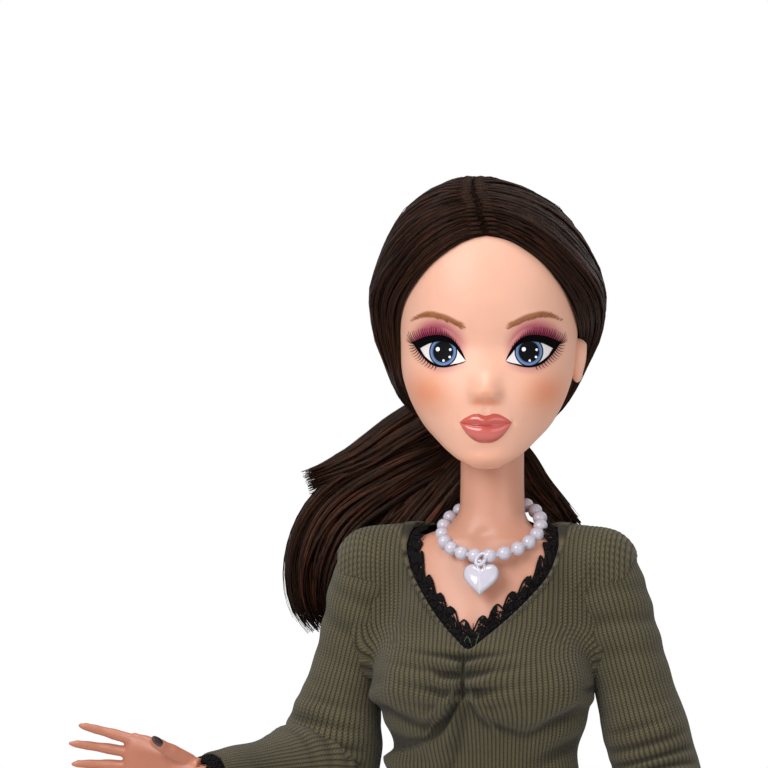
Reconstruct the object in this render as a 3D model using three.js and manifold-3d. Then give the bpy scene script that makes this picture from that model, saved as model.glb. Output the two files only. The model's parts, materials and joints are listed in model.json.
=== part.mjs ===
// A dressed, jointed fashion doll, standing. Millimetres and degrees, Z up.
// The doll faces -Y and +X is its left side.
import * as THREE from "three";
import { mergeVertices } from "three/addons/utils/BufferGeometryUtils.js";
import Module from "manifold-3d";

const wasm = await Module();
wasm.setup();

// Clearances and walls
const clearance = 0.3;
const skinGap = 0.35;
const knitThickness = 0.9;
const twillThickness = 0.6;
const laceThickness = 0.3;
const bootLeather = 0.7;
const hairThickness = 2.4;
const cutOverrun = 30;

// Heights above the floor
const bootSoleThickness = 2;
const ankleHeight = 17;
const bootTopHeight = 24;
const trouserHemHeight = 25.5;
const kneeHeight = 86;
const crotchHeight = 145;
const hipHeight = 150;
const pelvisUnderside = 159.2;
const sweaterHemHeight = 178;
const trouserTopHeight = sweaterHemHeight - clearance;
const waistHeight = 190;
const shoulderHeight = 226;
const neckTopHeight = 247;
const neckPivotHeight = 251;
const chinHeight = 242.6;
const skullTopHeight = 290;

// Trunk and neck
const hipHalfWidth = 19.2;
const seatDepth = 12;
const bustDepth = 13;
const neckRadius = 5.3;
const neckCentreY = 1;

// Head and hair
const headHalfWidth = 15.2;
const faceDepth = 16;
const skullDepth = 16;
const noseLength = 3.6;
const lipFullness = 0.9;
const earHeight = 8.4;
const hairHalfWidth = 19.7;
const ponytailTieY = 17.3;
const ponytailTieHeight = 250;

// Arms
const shoulderX = 19.5;
const shoulderBall = 5.6;
const upperArmLength = 35;
const forearmLength = 33;
const upperArmRadius = 4.5;
const elbowRadius = 4.1;
const wristRadius = 2.1;
const handLength = 23;
const palmHalfWidth = 4.2;
const sleeveRadius = 6.6;

// Legs and boots
const hipX = 11;
const hipBall = 8.6;
const thighRadius = 8.4;
const kneeRadius = 5.4;
const calfRadius = 5.7;
const ankleRadius = 3.1;
const footLength = 25;
const footHalfWidth = 3.9;
const trouserLegEase = 1.3;

// Hinges
const shoulderPinRadius = 0.9;
const elbowPinRadius = 0.8;
const wristPinRadius = 0.5;
const hipPinRadius = 1.2;
const kneePinRadius = 1;
const headPinRadius = 0.8;

// Jewellery
const beadRadius = 1.15;
const beadCount = 24;
const heartWidth = 5.4;

// The pose the doll stands in, in degrees
const headTurn = 11;
const rightArmPose = { swing: -2.4, raise: 13.4, twist: 29, bend: 81, wrist: 50 };
const leftArmPose = { swing: 3, raise: 15, twist: 0, bend: 16, wrist: 0 };

// Facets round each kind of solid
const pinSides = 8;
const limbSides = 10;
const roundSides = 12;
const barrelSides = 14;
const trunkSides = 18;
const wideSides = 20;
const headSides = 26;
const degree = Math.PI / 180;
const xAxis = new THREE.Vector3(1, 0, 0);
const yAxis = new THREE.Vector3(0, 1, 0);
const zAxis = new THREE.Vector3(0, 0, 1);

// Materials
const finish = (color, roughness, metalness = 0) => ({ color, roughness, metalness });
const finishes = {
  vinylSkin: finish(0xf0b99a, 0.42),
  bodySkin: finish(0xe6af96, 0.4),
  hair: finish(0x2a1712, 0.35),
  steel: finish(0xb8bcc0, 0.3, 1),
  knit: finish(0x54503f, 0.95),
  lace: finish(0x17131a, 0.85),
  twill: finish(0x23242b, 0.9),
  boot: finish(0x1c1a1c, 0.45),
  pearl: finish(0xc8c3ce, 0.3),
};

// Solids from triangles

function loft(rings) {
  const around = rings[0].length;
  const positions = rings.flat().flatMap((p) => [p.x, p.y, p.z]);
  const faces = [];
  for (let row = 0; row + 1 < rings.length; row += 1) {
    for (let column = 0; column < around; column += 1) {
      const next = (column + 1) % around;
      const low = row * around;
      const high = low + around;
      faces.push(low + column, low + next, high + next, low + column, high + next, high + column);
    }
  }
  const caps = [
    [rings[0], 0, true],
    [rings[rings.length - 1], (rings.length - 1) * around, false],
  ];
  for (const [ring, first, isStart] of caps) {
    const centre = ring.reduce((sum, p) => sum.add(p), new THREE.Vector3()).divideScalar(around);
    const hub = positions.length / 3;
    positions.push(centre.x, centre.y, centre.z);
    for (let column = 0; column < around; column += 1) {
      const here = first + column;
      const next = first + ((column + 1) % around);
      faces.push(...(isStart ? [hub, next, here] : [hub, here, next]));
    }
  }
  const geometry = new THREE.BufferGeometry();
  geometry.setAttribute("position", new THREE.Float32BufferAttribute(positions, 3));
  geometry.setIndex(faces);
  return geometry;
}

function solidOf(geometry) {
  const bare = geometry.index ? geometry.toNonIndexed() : geometry.clone();
  Object.keys(bare.attributes)
    .filter((name) => name !== "position")
    .forEach((name) => bare.deleteAttribute(name));
  const merged = mergeVertices(bare);
  const vertProperties = merged.attributes.position.array;
  const triVerts = new Uint32Array(merged.index.array);
  return new wasm.Manifold(new wasm.Mesh({ numProp: 3, vertProperties, triVerts }));
}

function geometryOf(solid) {
  const mesh = solid.getMesh();
  const geometry = new THREE.BufferGeometry();
  geometry.setAttribute("position", new THREE.BufferAttribute(new Float32Array(mesh.vertProperties), 3));
  geometry.setIndex(new THREE.BufferAttribute(new Uint32Array(mesh.triVerts), 1));
  return geometry;
}

const joined = (first, ...others) => others.reduce((whole, other) => whole.add(other), first);
const cut = (first, ...tools) => tools.reduce((left, tool) => left.subtract(tool), first);
const moved = (geometry, x, y, z) => geometry.clone().translate(x, y, z);

// A closed oval ring at one height, with its own half width and its own depth to the front and to the back
function oval({ z, half, front, back, x = 0, squareness = 2, around = wideSides }) {
  const centreY = (back - front) / 2;
  const halfDepth = (back + front) / 2;
  const bow = (value) => Math.sign(value) * Math.abs(value) ** (2 / squareness);
  return Array.from({ length: around }, (_, i) => {
    const angle = (2 * Math.PI * i) / around;
    return new THREE.Vector3(x + half * bow(Math.cos(angle)), centreY + halfDepth * bow(Math.sin(angle)), z);
  });
}

const circle = (z, radius, around = limbSides) =>
  oval({ z, half: radius, front: radius, back: radius, around });

// A tube-like solid along a curve, with a radius that follows the share of its length
function sweep(curve, { steps, around, radiusAt, overrun = 0 }) {
  const frames = curve.computeFrenetFrames(steps, false);
  const rings = frames.tangents.map((tangent, i) => {
    const share = i / steps;
    const centre = curve.getPointAt(share);
    if (i === 0) centre.addScaledVector(tangent, -overrun);
    if (i === steps) centre.addScaledVector(tangent, overrun);
    const [wide, deep] = [radiusAt(share)].flat();
    return Array.from({ length: around }, (_, k) => {
      const angle = (2 * Math.PI * k) / around;
      return centre
        .clone()
        .addScaledVector(frames.normals[i], Math.cos(angle) * wide)
        .addScaledVector(frames.binormals[i], Math.sin(angle) * (deep ?? wide));
    });
  });
  return loft(rings);
}

// Straight steps between the values of a table of shares
function between(table, share) {
  const after = table.findIndex(([at]) => at >= share);
  if (after <= 0) return table[after < 0 ? table.length - 1 : 0][1];
  const [[a, low], [b, high]] = [table[after - 1], table[after]];
  return low + ((high - low) * (share - a)) / (b - a);
}

const cylinder = (radius, length, around) => new THREE.CylinderGeometry(radius, radius, length, around);
const bar = (radius, halfLength, around = pinSides) =>
  cylinder(radius, 2 * halfLength, around).rotateZ(Math.PI / 2);
const post = (radius, low, high, around = pinSides) =>
  cylinder(radius, high - low, around).rotateX(Math.PI / 2).translate(0, 0, (low + high) / 2);
const ball = (radius, around = roundSides) => new THREE.SphereGeometry(radius, around, around / 2);

function block(lowX, highX, lowY, highY, lowZ, highZ) {
  const box = new THREE.BoxGeometry(highX - lowX, highY - lowY, highZ - lowZ);
  return box.translate((lowX + highX) / 2, (lowY + highY) / 2, (lowZ + highZ) / 2);
}

// Hinges
// Each hinge lies with its pin along X. The fork holds the pin, and the tongue turns in the fork's slot.
// A limb below the pin hangs along -Z. An angle here turns from -Z towards +Y.

const slotStep = 40 * degree;

function slot({ tongueRadius, halfThickness, fromAngle, toAngle, reach }) {
  const wide = tongueRadius + clearance;
  const deep = halfThickness + clearance;
  const steps = Math.max(1, Math.ceil(Math.abs(toAngle - fromAngle) / slotStep));
  let solid = solidOf(bar(wide, deep));
  for (let i = 0; i <= steps; i += 1) {
    const strip = block(-deep, deep, -wide, wide, -reach, 0);
    strip.rotateX(fromAngle + ((toAngle - fromAngle) * i) / steps);
    solid = solid.add(solidOf(strip));
  }
  return solid;
}

const tongue = ({ tongueRadius, halfThickness, neckLength }) =>
  joined(
    solidOf(bar(tongueRadius, halfThickness)),
    solidOf(block(-halfThickness, halfThickness, -tongueRadius, tongueRadius, -neckLength, 0)),
  );

// Half of space beyond a plane through the pin, on the side that a limb folds to: the mitre that lets it fold
function mitre(foldSide, tilt) {
  const half = block(-cutOverrun, cutOverrun, 0, cutOverrun, -cutOverrun, cutOverrun);
  if (foldSide < 0) half.translate(0, -cutOverrun, 0);
  return solidOf(half.rotateX(tilt));
}

// Trunk: pelvis, torso and neck share one table of sections, from the pelvis underside to the neck's top
const trunkSquareness = 2.25;
const trunkShares = [
  // height, half width, front, back
  [0, 0.99, 0.71, 0.96],
  [0.08, 1, 0.74, 1],
  [0.18, 0.92, 0.72, 0.87],
  [0.35, 0.745, 0.645, 0.6],
  [0.42, 0.765, 0.69, 0.6],
  [0.475, 0.835, 0.82, 0.63],
  [0.53, 0.915, 1, 0.68],
  [0.59, 0.87, 0.97, 0.72],
  [0.655, 0.8, 0.79, 0.74],
  [0.715, 0.765, 0.65, 0.72],
  [0.76, 0.78, 0.55, 0.69],
  [0.794, 0.735, 0.475, 0.65],
  [0.817, 0.6, 0.415, 0.62],
  [0.834, 0.4, 0.385, 0.585],
  [0.862, 0.293, 0.345, 0.545],
  [1, 0.276, 0.331, 0.525],
];
const trunkHeight = neckTopHeight - pelvisUnderside;
// Above this share of the trunk's height a garment's offset also lifts it off the shoulders
const shoulderShare = 0.76;

function trunkRings(offset) {
  return trunkShares
    .map(([height, half, front, back]) => {
      const z = pelvisUnderside + height * trunkHeight + (height > shoulderShare ? offset : 0);
      return oval({
        z,
        half: half * hipHalfWidth + offset,
        front: front * bustDepth + offset,
        back: back * seatDepth + offset,
        squareness: trunkSquareness,
        around: trunkSides,
      });
    })
    .filter((ring, i, all) => i === 0 || ring[0].z > all[i - 1][0].z + clearance);
}

const trunkSolid = (offset) => solidOf(loft(trunkRings(offset)));
const slab = (low, high) => solidOf(block(-cutOverrun, cutOverrun, -cutOverrun, cutOverrun, low, high));

const lathe = (points, around = roundSides) =>
  new THREE.LatheGeometry(
    points.map(([radius, z]) => new THREE.Vector2(radius, z)),
    around,
  ).rotateX(Math.PI / 2);

const waistPostRadius = 3.6;
const waistFlangeRadius = 4.8;
const waistPostHeight = 8;
const waistFlangeHeight = 3;

// The waist's turning post, thicker at its top so that the halves of the torso trap it
function waistPost(gap) {
  const top = waistHeight + waistPostHeight;
  const under = top - waistFlangeHeight;
  return solidOf(
    lathe([
      [0, waistHeight - clearance],
      [waistPostRadius + gap, waistHeight - clearance],
      [waistPostRadius + gap, under - gap],
      [waistFlangeRadius + gap, under - gap],
      [waistFlangeRadius + gap, top + gap],
      [0, top + gap],
    ]),
  );
}

// The neck knob: a post that turns in the neck, a collar that keeps it there, and the ball inside the head
const neckPostRadius = 2.4;
const neckCollarRadius = 3.4;
const neckCollarHeight = 2;
const neckPostDepth = 9;
const headBallRadius = 4.2;

function neckPost(gap, top) {
  const foot = neckTopHeight - neckPostDepth;
  return moved(
    lathe([
      [0, foot - gap],
      [neckCollarRadius + gap, foot - gap],
      [neckCollarRadius + gap, foot + neckCollarHeight + gap],
      [neckPostRadius + gap, foot + neckCollarHeight + gap],
      [neckPostRadius + gap, top],
      [0, top],
    ]),
    0,
    neckCentreY,
    0,
  );
}

const hipWebHalfWidth = 2;
const hipWebHalfDepth = 4;
const hubPegRadius = 1.8;
const shoulderPegDepth = 6;

function pelvis() {
  const low = slab(0, waistHeight - clearance / 2);
  const sockets = [-1, 1].map((side) => solidOf(moved(ball(hipBall + clearance), side * hipX, 0, hipHeight)));
  const webTop = pelvisUnderside + clearance;
  const [wide, deep] = [hipWebHalfWidth, hipWebHalfDepth];
  const web = solidOf(block(-wide, wide, -deep, deep, crotchHeight, webTop));
  const body = joined(trunkSolid(0).intersect(low), web, waistPost(0));
  return cut(body, ...sockets, solidOf(moved(bar(hubPegRadius + clearance, hipX), 0, 0, hipHeight)));
}

function torsoHalf(sideY) {
  const gap = clearance / 2;
  const high = slab(waistHeight + gap, neckTopHeight);
  const half = solidOf(
    sideY < 0
      ? block(-cutOverrun, cutOverrun, -cutOverrun, -gap, 0, skullTopHeight)
      : block(-cutOverrun, cutOverrun, gap, cutOverrun, 0, skullTopHeight),
  );
  const pegBore = bar(shoulderPegRadius + clearance, shoulderBall + shoulderPegDepth + clearance);
  const sockets = [-1, 1].flatMap((side) =>
    [ball(shoulderBall + clearance), pegBore].map((tool) =>
      solidOf(moved(tool, side * shoulderX, 0, shoulderHeight)),
    ),
  );
  return cut(
    trunkSolid(0).intersect(high).intersect(half),
    waistPost(clearance),
    solidOf(neckPost(clearance, neckTopHeight + cutOverrun)),
    ...sockets,
  );
}

// Head: one table of sections from the chin to the top of the skull
const headShares = [
  // height, half width, face depth, skull depth
  [0, 0.2, 0.79, -0.66],
  [0.02, 0.3, 0.84, -0.5],
  [0.055, 0.41, 0.89, -0.28],
  [0.095, 0.54, 0.93, 0.02],
  [0.14, 0.67, 0.96, 0.42],
  [0.185, 0.765, 0.975, 0.66],
  [0.235, 0.85, 0.985, 0.78],
  [0.285, 0.915, 0.975, 0.86],
  [0.345, 0.965, 0.945, 0.94],
  [0.42, 0.99, 0.905, 0.99],
  [0.5, 1, 0.925, 1],
  [0.58, 1, 0.955, 1],
  [0.66, 0.985, 0.945, 0.97],
  [0.745, 0.93, 0.895, 0.91],
  [0.825, 0.825, 0.785, 0.8],
  [0.9, 0.66, 0.61, 0.64],
  [0.955, 0.44, 0.4, 0.42],
  [0.988, 0.2, 0.18, 0.19],
];
const headHeight = skullTopHeight - chinHeight;
const headLevels = 16;
const headSquareness = 2.1;
// How much the levels crowd towards the chin and the crown
const levelCrowdShare = 0.35;
// Between these shares of its depth the face begins to carry its features
const faceStartShares = [0.3, 0.75];

function headSection(share) {
  return [1, 2, 3].map((column) => between(headShares.map((row) => [row[0], row[column]]), share));
}

// How far the face stands out from the plain oval, x across and at a share of the head's height.
// Each hill has its place across and up, its width and its height, as shares of the head's sizes.
function faceRelief(x, share) {
  const hill = (atX, atShare, wide, tall) =>
    Math.exp(-(((x - atX) / (wide * headHalfWidth)) ** 2) - ((share - atShare) / tall) ** 2);
  const mirrored = (atX, ...rest) => hill(atX * headHalfWidth, ...rest) + hill(-atX * headHalfWidth, ...rest);
  const nose = noseLength * hill(0, 0.29, 0.13, 0.042) + 0.32 * noseLength * hill(0, 0.4, 0.11, 0.09);
  const sockets = -0.3 * noseLength * mirrored(0.5, 0.415, 0.32, 0.05);
  const cheeks = 0.1 * noseLength * mirrored(0.62, 0.27, 0.3, 0.08);
  const lips = lipFullness * (hill(0, 0.165, 0.17, 0.014) + 1.1 * hill(0, 0.125, 0.15, 0.017));
  const chin = lipFullness * 0.8 * hill(0, 0.035, 0.2, 0.04);
  return nose + sockets + cheeks + lips + chin;
}

function headRings(offset = 0) {
  const rings = [];
  for (let level = 0; level <= headLevels; level += 1) {
    const even = level / headLevels;
    const crowded = (1 - Math.cos(Math.PI * even)) / 2;
    const share = THREE.MathUtils.lerp(even, crowded, levelCrowdShare);
    const held = Math.min(share, headShares[headShares.length - 1][0]);
    const [half, front, back] = headSection(held);
    const ring = oval({
      z: chinHeight + held * headHeight + offset * (2 * held - 1),
      half: half * headHalfWidth + offset,
      front: front * faceDepth + offset,
      back: back * skullDepth + offset,
      squareness: headSquareness,
      around: headSides,
    });
    ring.forEach((p) => {
      const facing = THREE.MathUtils.smoothstep(-p.y / faceDepth, ...faceStartShares);
      p.y -= offset ? 0 : facing * faceRelief(p.x, held);
    });
    rings.push(ring);
    if (held < share) break;
  }
  return rings;
}

const earTilt = 12 * degree;
const earSizeShares = [0.2, 0.3, 0.5];
const earBackShare = 0.06;
const earUpShare = 0.375;

function ear(side, offset) {
  const lobe = ball(1, limbSides);
  lobe.scale(...earSizeShares.map((share) => share * earHeight + offset));
  lobe.rotateX(earTilt);
  const z = chinHeight + earUpShare * headHeight;
  return solidOf(moved(lobe, side * headHalfWidth, earBackShare * skullDepth, z));
}

// Room round the neck and over its top, so that the head can nod
const neckRoom = 1.6;
const neckTopRoom = 1;
const headHoleRadius = neckRadius + neckRoom;
const headPinHalfLength = 8;

// The hollow that the neck and its ball enter, open under the chin
function headSocket() {
  const shoulder = neckTopHeight + neckTopRoom;
  const rim = headBallRadius + clearance;
  const top = neckPivotHeight + rim;
  const profile = [
    [0, chinHeight - cutOverrun],
    [headHoleRadius, chinHeight - cutOverrun],
    [headHoleRadius, shoulder],
    [rim, shoulder + clearance],
    [rim, top],
    [0, top],
  ];
  return solidOf(moved(lathe(profile), 0, neckCentreY, 0));
}

function headShell() {
  const skull = joined(solidOf(loft(headRings())), ear(-1, 0), ear(1, 0));
  const pinHole = bar(headPinRadius + clearance, headPinHalfLength + clearance);
  return cut(skull, headSocket(), solidOf(moved(pinHole, 0, neckCentreY, neckPivotHeight)));
}

function neckKnob() {
  const [nodBall, pinHole] = [ball(headBallRadius), bar(headPinRadius + clearance, cutOverrun)].map((shape) =>
    solidOf(moved(shape, 0, neckCentreY, neckPivotHeight)),
  );
  return cut(joined(solidOf(neckPost(0, neckPivotHeight)), nodBall), pinHole);
}

// Hair: a cap over the skull, open at the face, gathered at the nape
const hairShares = [
  // height, half width, front, back, measured like the head's
  [0.06, 0.5, 0.2, 0.74],
  [0.12, 0.62, 0.4, 0.92],
  [0.2, 0.72, 0.5, 1.04],
  [0.29, 0.81, 0.7, 1.12],
  [0.37, 0.88, 0.9, 1.17],
  [0.45, 0.955, 1.02, 1.2],
  [0.53, 0.99, 1.08, 1.2],
  [0.58, 1, 1.1, 1.19],
  [0.66, 0.975, 1.09, 1.15],
  [0.74, 0.9, 1.05, 1.08],
  [0.81, 0.825, 0.97, 0.98],
  [0.88, 0.72, 0.84, 0.83],
  [0.94, 0.58, 0.67, 0.65],
  [0.99, 0.39, 0.45, 0.42],
  [1.03, 0.14, 0.16, 0.14],
];

// The face's outline in front: shares of the head's half width and height, one side
const faceEdgeShares = [
  [0, 0.822],
  [0.22, 0.8],
  [0.45, 0.753],
  [0.63, 0.7],
  [0.78, 0.655],
  [0.89, 0.61],
  [0.955, 0.565],
  [1, 0.5],
  [1.5, 0.46],
];

// The hairline from the side, from the temple to the nape: shares of the head's depth and height
const sideEdgeShares = [
  [-1.6, 0.9],
  [-0.45, 0.75],
  [-0.2, 0.62],
  [0.02, 0.52],
  [0.14, 0.42],
  [0.32, 0.3],
  [0.5, 0.16],
  [0.62, 0],
];

function prismAlongY(points, lowY, highY) {
  const shape = new THREE.Shape(points.map(([x, z]) => new THREE.Vector2(x, z)));
  const geometry = new THREE.ExtrudeGeometry(shape, { depth: highY - lowY, bevelEnabled: false });
  return solidOf(geometry.rotateX(Math.PI / 2).translate(0, highY, 0));
}

function prismAlongX(points, halfLength) {
  const shape = new THREE.Shape(points.map(([y, z]) => new THREE.Vector2(y, z)));
  const geometry = new THREE.ExtrudeGeometry(shape, { depth: 2 * halfLength, bevelEnabled: false });
  return solidOf(geometry.rotateY(Math.PI / 2).rotateX(Math.PI / 2).translate(-halfLength, 0, 0));
}

function faceOpening() {
  const floor = chinHeight - cutOverrun;
  const edge = faceEdgeShares.map(([x, z]) => [x * headHalfWidth, chinHeight + z * headHeight]);
  const widest = edge[edge.length - 1][0];
  const right = [...edge, [widest, floor]];
  const left = right.slice(1).map(([x, z]) => [-x, z]).reverse();
  const front = prismAlongY([...right, ...left], -cutOverrun, cutOverrun);
  const side = sideEdgeShares.map(([y, z]) => [y * skullDepth, chinHeight + z * headHeight]);
  const [lastY] = side[side.length - 1];
  const behind = [...side, [lastY, floor], [-cutOverrun, floor], [-cutOverrun, side[0][1]]];
  return front.intersect(prismAlongX(behind, cutOverrun));
}

// The tie lies against the slope of the hair, round the gathered root that passes through it
const tieRadius = 3.4;
const tieBand = 1.1;
const tieTilt = 22 * degree;
const gatherRadius = tieRadius - tieBand - clearance;
const gatherLength = 2.6;

// The tie's place in the doll's frame, with its hole along Z before the turn
const tiePlace = () =>
  new THREE.Matrix4()
    .makeRotationX(-Math.PI / 2 - tieTilt)
    .setPosition(0, ponytailTieY, ponytailTieHeight);

function scalpHair() {
  const rings = hairShares.map(([height, half, front, back]) =>
    oval({
      z: chinHeight + height * headHeight,
      half: half * hairHalfWidth,
      front: front * faceDepth,
      back: back * skullDepth,
      squareness: headSquareness,
      around: trunkSides,
    }),
  );
  const inner = solidOf(loft(headRings(clearance)));
  const neckHole = post(headHoleRadius, 0, neckTopHeight + hairThickness, wideSides);
  const neck = solidOf(moved(neckHole, 0, neckCentreY, 0));
  const ears = [-1, 1].map((side) => ear(side, clearance));
  const gather = post(gatherRadius, -hairThickness, gatherLength).applyMatrix4(tiePlace());
  const hair = joined(solidOf(loft(rings)), solidOf(gather));
  return cut(hair, inner, neck, faceOpening(), ...ears);
}

// Ponytail: locks that spread from one root behind the tie, in the head's frame
const lockSpan = ponytailTieHeight - waistHeight;
const lockRouteShares = {
  // across, back and up from the root, as shares of the locks' span
  flick: [
    [0, 0, 0],
    [-0.117, -0.02, 0.042],
    [-0.242, -0.03, -0.017],
    [-0.35, -0.04, -0.098],
    [-0.45, -0.05, -0.145],
    [-0.53, -0.06, -0.162],
  ],
  sweepDown: [
    [0, 0, 0],
    [-0.133, -0.02, -0.092],
    [-0.283, -0.03, -0.175],
    [-0.417, -0.05, -0.275],
    [-0.475, -0.065, -0.392],
    [-0.483, -0.08, -0.492],
    [-0.458, -0.095, -0.567],
  ],
  short: [
    [0, 0, 0],
    [0.075, -0.03, -0.083],
    [0.125, -0.06, -0.167],
    [0.183, -0.08, -0.233],
    [0.242, -0.1, -0.292],
  ],
};
const lockRadiusShares = {
  flick: [[0, 0.035], [0.25, 0.06], [0.5, 0.058], [0.75, 0.04], [0.9, 0.02], [1, 0.006]],
  sweepDown: [[0, 0.037], [0.2, 0.085], [0.41, 0.11], [0.62, 0.125], [0.78, 0.11], [0.9, 0.083], [1, 0.03]],
  short: [[0, 0.03], [0.25, 0.042], [0.5, 0.05], [0.75, 0.042], [1, 0.013]],
};
const lockFlatnessShare = 0.62;
const lockSteps = 10;

function ponytail() {
  const root = new THREE.Vector3(0, 0, gatherLength + clearance + gatherRadius).applyMatrix4(tiePlace());
  const locks = Object.entries(lockRouteShares).map(([name, route]) => {
    const points = route.map((shares) => new THREE.Vector3(...shares).multiplyScalar(lockSpan).add(root));
    const radiusAt = (share) => {
      const wide = between(lockRadiusShares[name], share) * lockSpan;
      return [wide * lockFlatnessShare, wide];
    };
    const curve = new THREE.CatmullRomCurve3(points);
    return solidOf(sweep(curve, { steps: lockSteps, around: pinSides, radiusAt }));
  });
  return joined(solidOf(ball(gatherRadius, pinSides).translate(...root)), ...locks);
}

// Hands
const fingerShares = [
  // across the palm from the thumb's side, length, spread in degrees
  { across: -0.76, length: 0.44, spread: -7 },
  { across: -0.26, length: 0.49, spread: -1 },
  { across: 0.26, length: 0.455, spread: 5 },
  { across: 0.74, length: 0.36, spread: 12 },
];
const knuckleShare = 0.5;
const fingerRadius = 0.95;
const thumbRadius = 1.1;
const fingerCurl = 16 * degree;
const thumbShare = 0.42;
const thumbRootShares = [-0.2, -0.45, -0.44];
const thumbWay = new THREE.Vector3(-0.35, -0.75, -0.8).normalize();
const fingerRootShare = 0.9;
const fingerGirthShares = [[0, 1], [0.5, 0.86], [0.86, 0.66], [1, 0.3]];
const fingerSteps = 3;
const fingerSides = 6;

function fingerSolid(root, direction, curlAxis, length, radius) {
  const halfway = root.clone().addScaledVector(direction, length / 2);
  const bent = direction.clone().applyAxisAngle(curlAxis, fingerCurl);
  const tip = halfway.clone().addScaledVector(bent, length / 2);
  const curve = new THREE.CatmullRomCurve3([root, halfway, tip]);
  const radiusAt = (share) => radius * between(fingerGirthShares, share);
  return solidOf(sweep(curve, { steps: fingerSteps, around: fingerSides, radiusAt }));
}

// Every limb piece below is made for the left side.
// While the arm hangs, the palm faces the doll's middle and the thumb points forward.
function hand() {
  const palmLength = knuckleShare * handLength;
  const palmShares = [
    // along the palm from its knuckles to the wrist, half width, half thickness
    [1, 0.93, 0.26],
    [0.86, 1.02, 0.33],
    [0.6, 0.93, 0.4],
    [0.32, 0.62, 0.42],
    [0.18, 0.48, 0.4],
  ];
  const rings = palmShares.map(([along, wide, thick]) =>
    oval({
      z: -along * palmLength,
      half: thick * palmHalfWidth,
      front: wide * palmHalfWidth,
      back: wide * palmHalfWidth,
      around: limbSides,
    }),
  );
  const fingers = fingerShares.map(({ across, length, spread }) => {
    const root = new THREE.Vector3(0, across * palmHalfWidth, -fingerRootShare * palmLength);
    const direction = new THREE.Vector3(0, 0, -1).applyAxisAngle(xAxis, spread * degree);
    return fingerSolid(root, direction, yAxis, length * handLength, fingerRadius);
  });
  const thumbRoot = new THREE.Vector3(...thumbRootShares).multiplyScalar(palmHalfWidth);
  thumbRoot.z *= palmLength / (palmLength + palmHalfWidth);
  const thumb = fingerSolid(thumbRoot, thumbWay, yAxis, thumbShare * handLength, thumbRadius);
  return joined(solidOf(loft(rings)), ...fingers, thumb);
}

// Arm: a hub turns in the torso and the arm lifts on the hub's tongue.
// The elbow's fork turns in the upper arm, and the forearm and the hand hinge on pins.
const shoulderTongue = { tongueRadius: 2.7, halfThickness: 1.3 };
const elbowTongue = { tongueRadius: 2.2, halfThickness: 1.1 };
const wristTongue = { tongueRadius: 1.2, halfThickness: 0.6 };
const shoulderSlotSpan = [-18 * degree, 92 * degree];
const shoulderPegRadius = 2.2;
const elbowPegRadius = 1.7;
const elbowPegLength = 6;
const elbowForkTop = 5.3;
const elbowMostBend = 112 * degree;
const elbowMitre = 25 * degree;
const wristBarrel = 2.1;
const wristSlotSpan = [-80 * degree, 80 * degree];

const hole = (pinRadius) => solidOf(bar(pinRadius + clearance, cutOverrun));
const atHeight = (solid, z) => solidOf(geometryOf(solid).translate(0, 0, z));

// How far a hub's peg enters its own tongue, and how wide a barrel is beside its limb
const pegOverlapShare = 0.7;
const elbowBarrelShare = 0.75;
const kneeBarrelShare = 0.7;
const wristBarrelShare = 0.9;
const pinInBarrelShare = 0.93;

// Turns a hinge part so that its pin lies along Y and its -Z points to the doll's middle
const sideways = (solid) => solidOf(geometryOf(solid).rotateZ(Math.PI / 2).rotateY(Math.PI / 2));
const pinAlongY = (solid) => solidOf(geometryOf(solid).rotateZ(Math.PI / 2));

function peg(radius, from, to) {
  return solidOf(bar(radius, (to - from) / 2).translate(-(from + to) / 2, 0, 0));
}

function shoulderHub() {
  const blade = sideways(tongue({ ...shoulderTongue, neckLength: shoulderBall / 2 }));
  const pegStart = shoulderTongue.tongueRadius * pegOverlapShare;
  const arm = peg(shoulderPegRadius, pegStart, shoulderBall + shoulderPegDepth);
  return cut(joined(blade, arm), pinAlongY(hole(shoulderPinRadius)));
}

// Along the upper arm from its elbow end, where 1 is the end and 0 the shoulder
const upperArmShares = { middle: 0.7, full: 0.35, top: 0.1 };

function upperArm() {
  const foot = elbowForkTop + clearance - upperArmLength;
  const rings = [
    circle(foot, elbowRadius),
    circle(foot * upperArmShares.middle, (elbowRadius + upperArmRadius) / 2),
    circle(foot * upperArmShares.full, upperArmRadius),
    circle(foot * upperArmShares.top, upperArmRadius),
  ];
  const [fromAngle, toAngle] = shoulderSlotSpan;
  const opening = sideways(
    slot({
      tongueRadius: shoulderTongue.tongueRadius,
      halfThickness: Math.max(shoulderTongue.halfThickness, shoulderPegRadius),
      fromAngle,
      toAngle,
      reach: shoulderBall * 2,
    }),
  );
  const boreTop = foot + elbowPegLength + clearance;
  const pegBore = solidOf(post(elbowPegRadius + clearance, foot - cutOverrun, boreTop));
  const body = joined(solidOf(ball(shoulderBall)), solidOf(loft(rings)));
  return cut(body, opening, pegBore, pinAlongY(hole(shoulderPinRadius)));
}

const elbowNeckShare = 0.9;

function elbowFork() {
  const knuckle = joined(
    solidOf(bar(elbowRadius, elbowRadius * elbowBarrelShare, barrelSides)),
    solidOf(post(elbowPegRadius, 0, elbowForkTop + elbowPegLength)),
    solidOf(post(elbowRadius * elbowNeckShare, elbowRadius / 2, elbowForkTop, roundSides)),
  );
  const gap = slot({ ...elbowTongue, fromAngle: -elbowMostBend, toAngle: 0, reach: elbowRadius * 2 });
  return cut(knuckle, gap, hole(elbowPinRadius));
}

// Down the forearm: place as a share of its length, then girth as a share of the wrist's or the elbow's
const forearmShares = {
  wrist: [[1, 1], [0.82, 1.14]],
  elbow: [[0.48, 0.86], [0.22, 1], [0.04, 0.92]],
};
const elbowBladeShare = 0.32;

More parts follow.
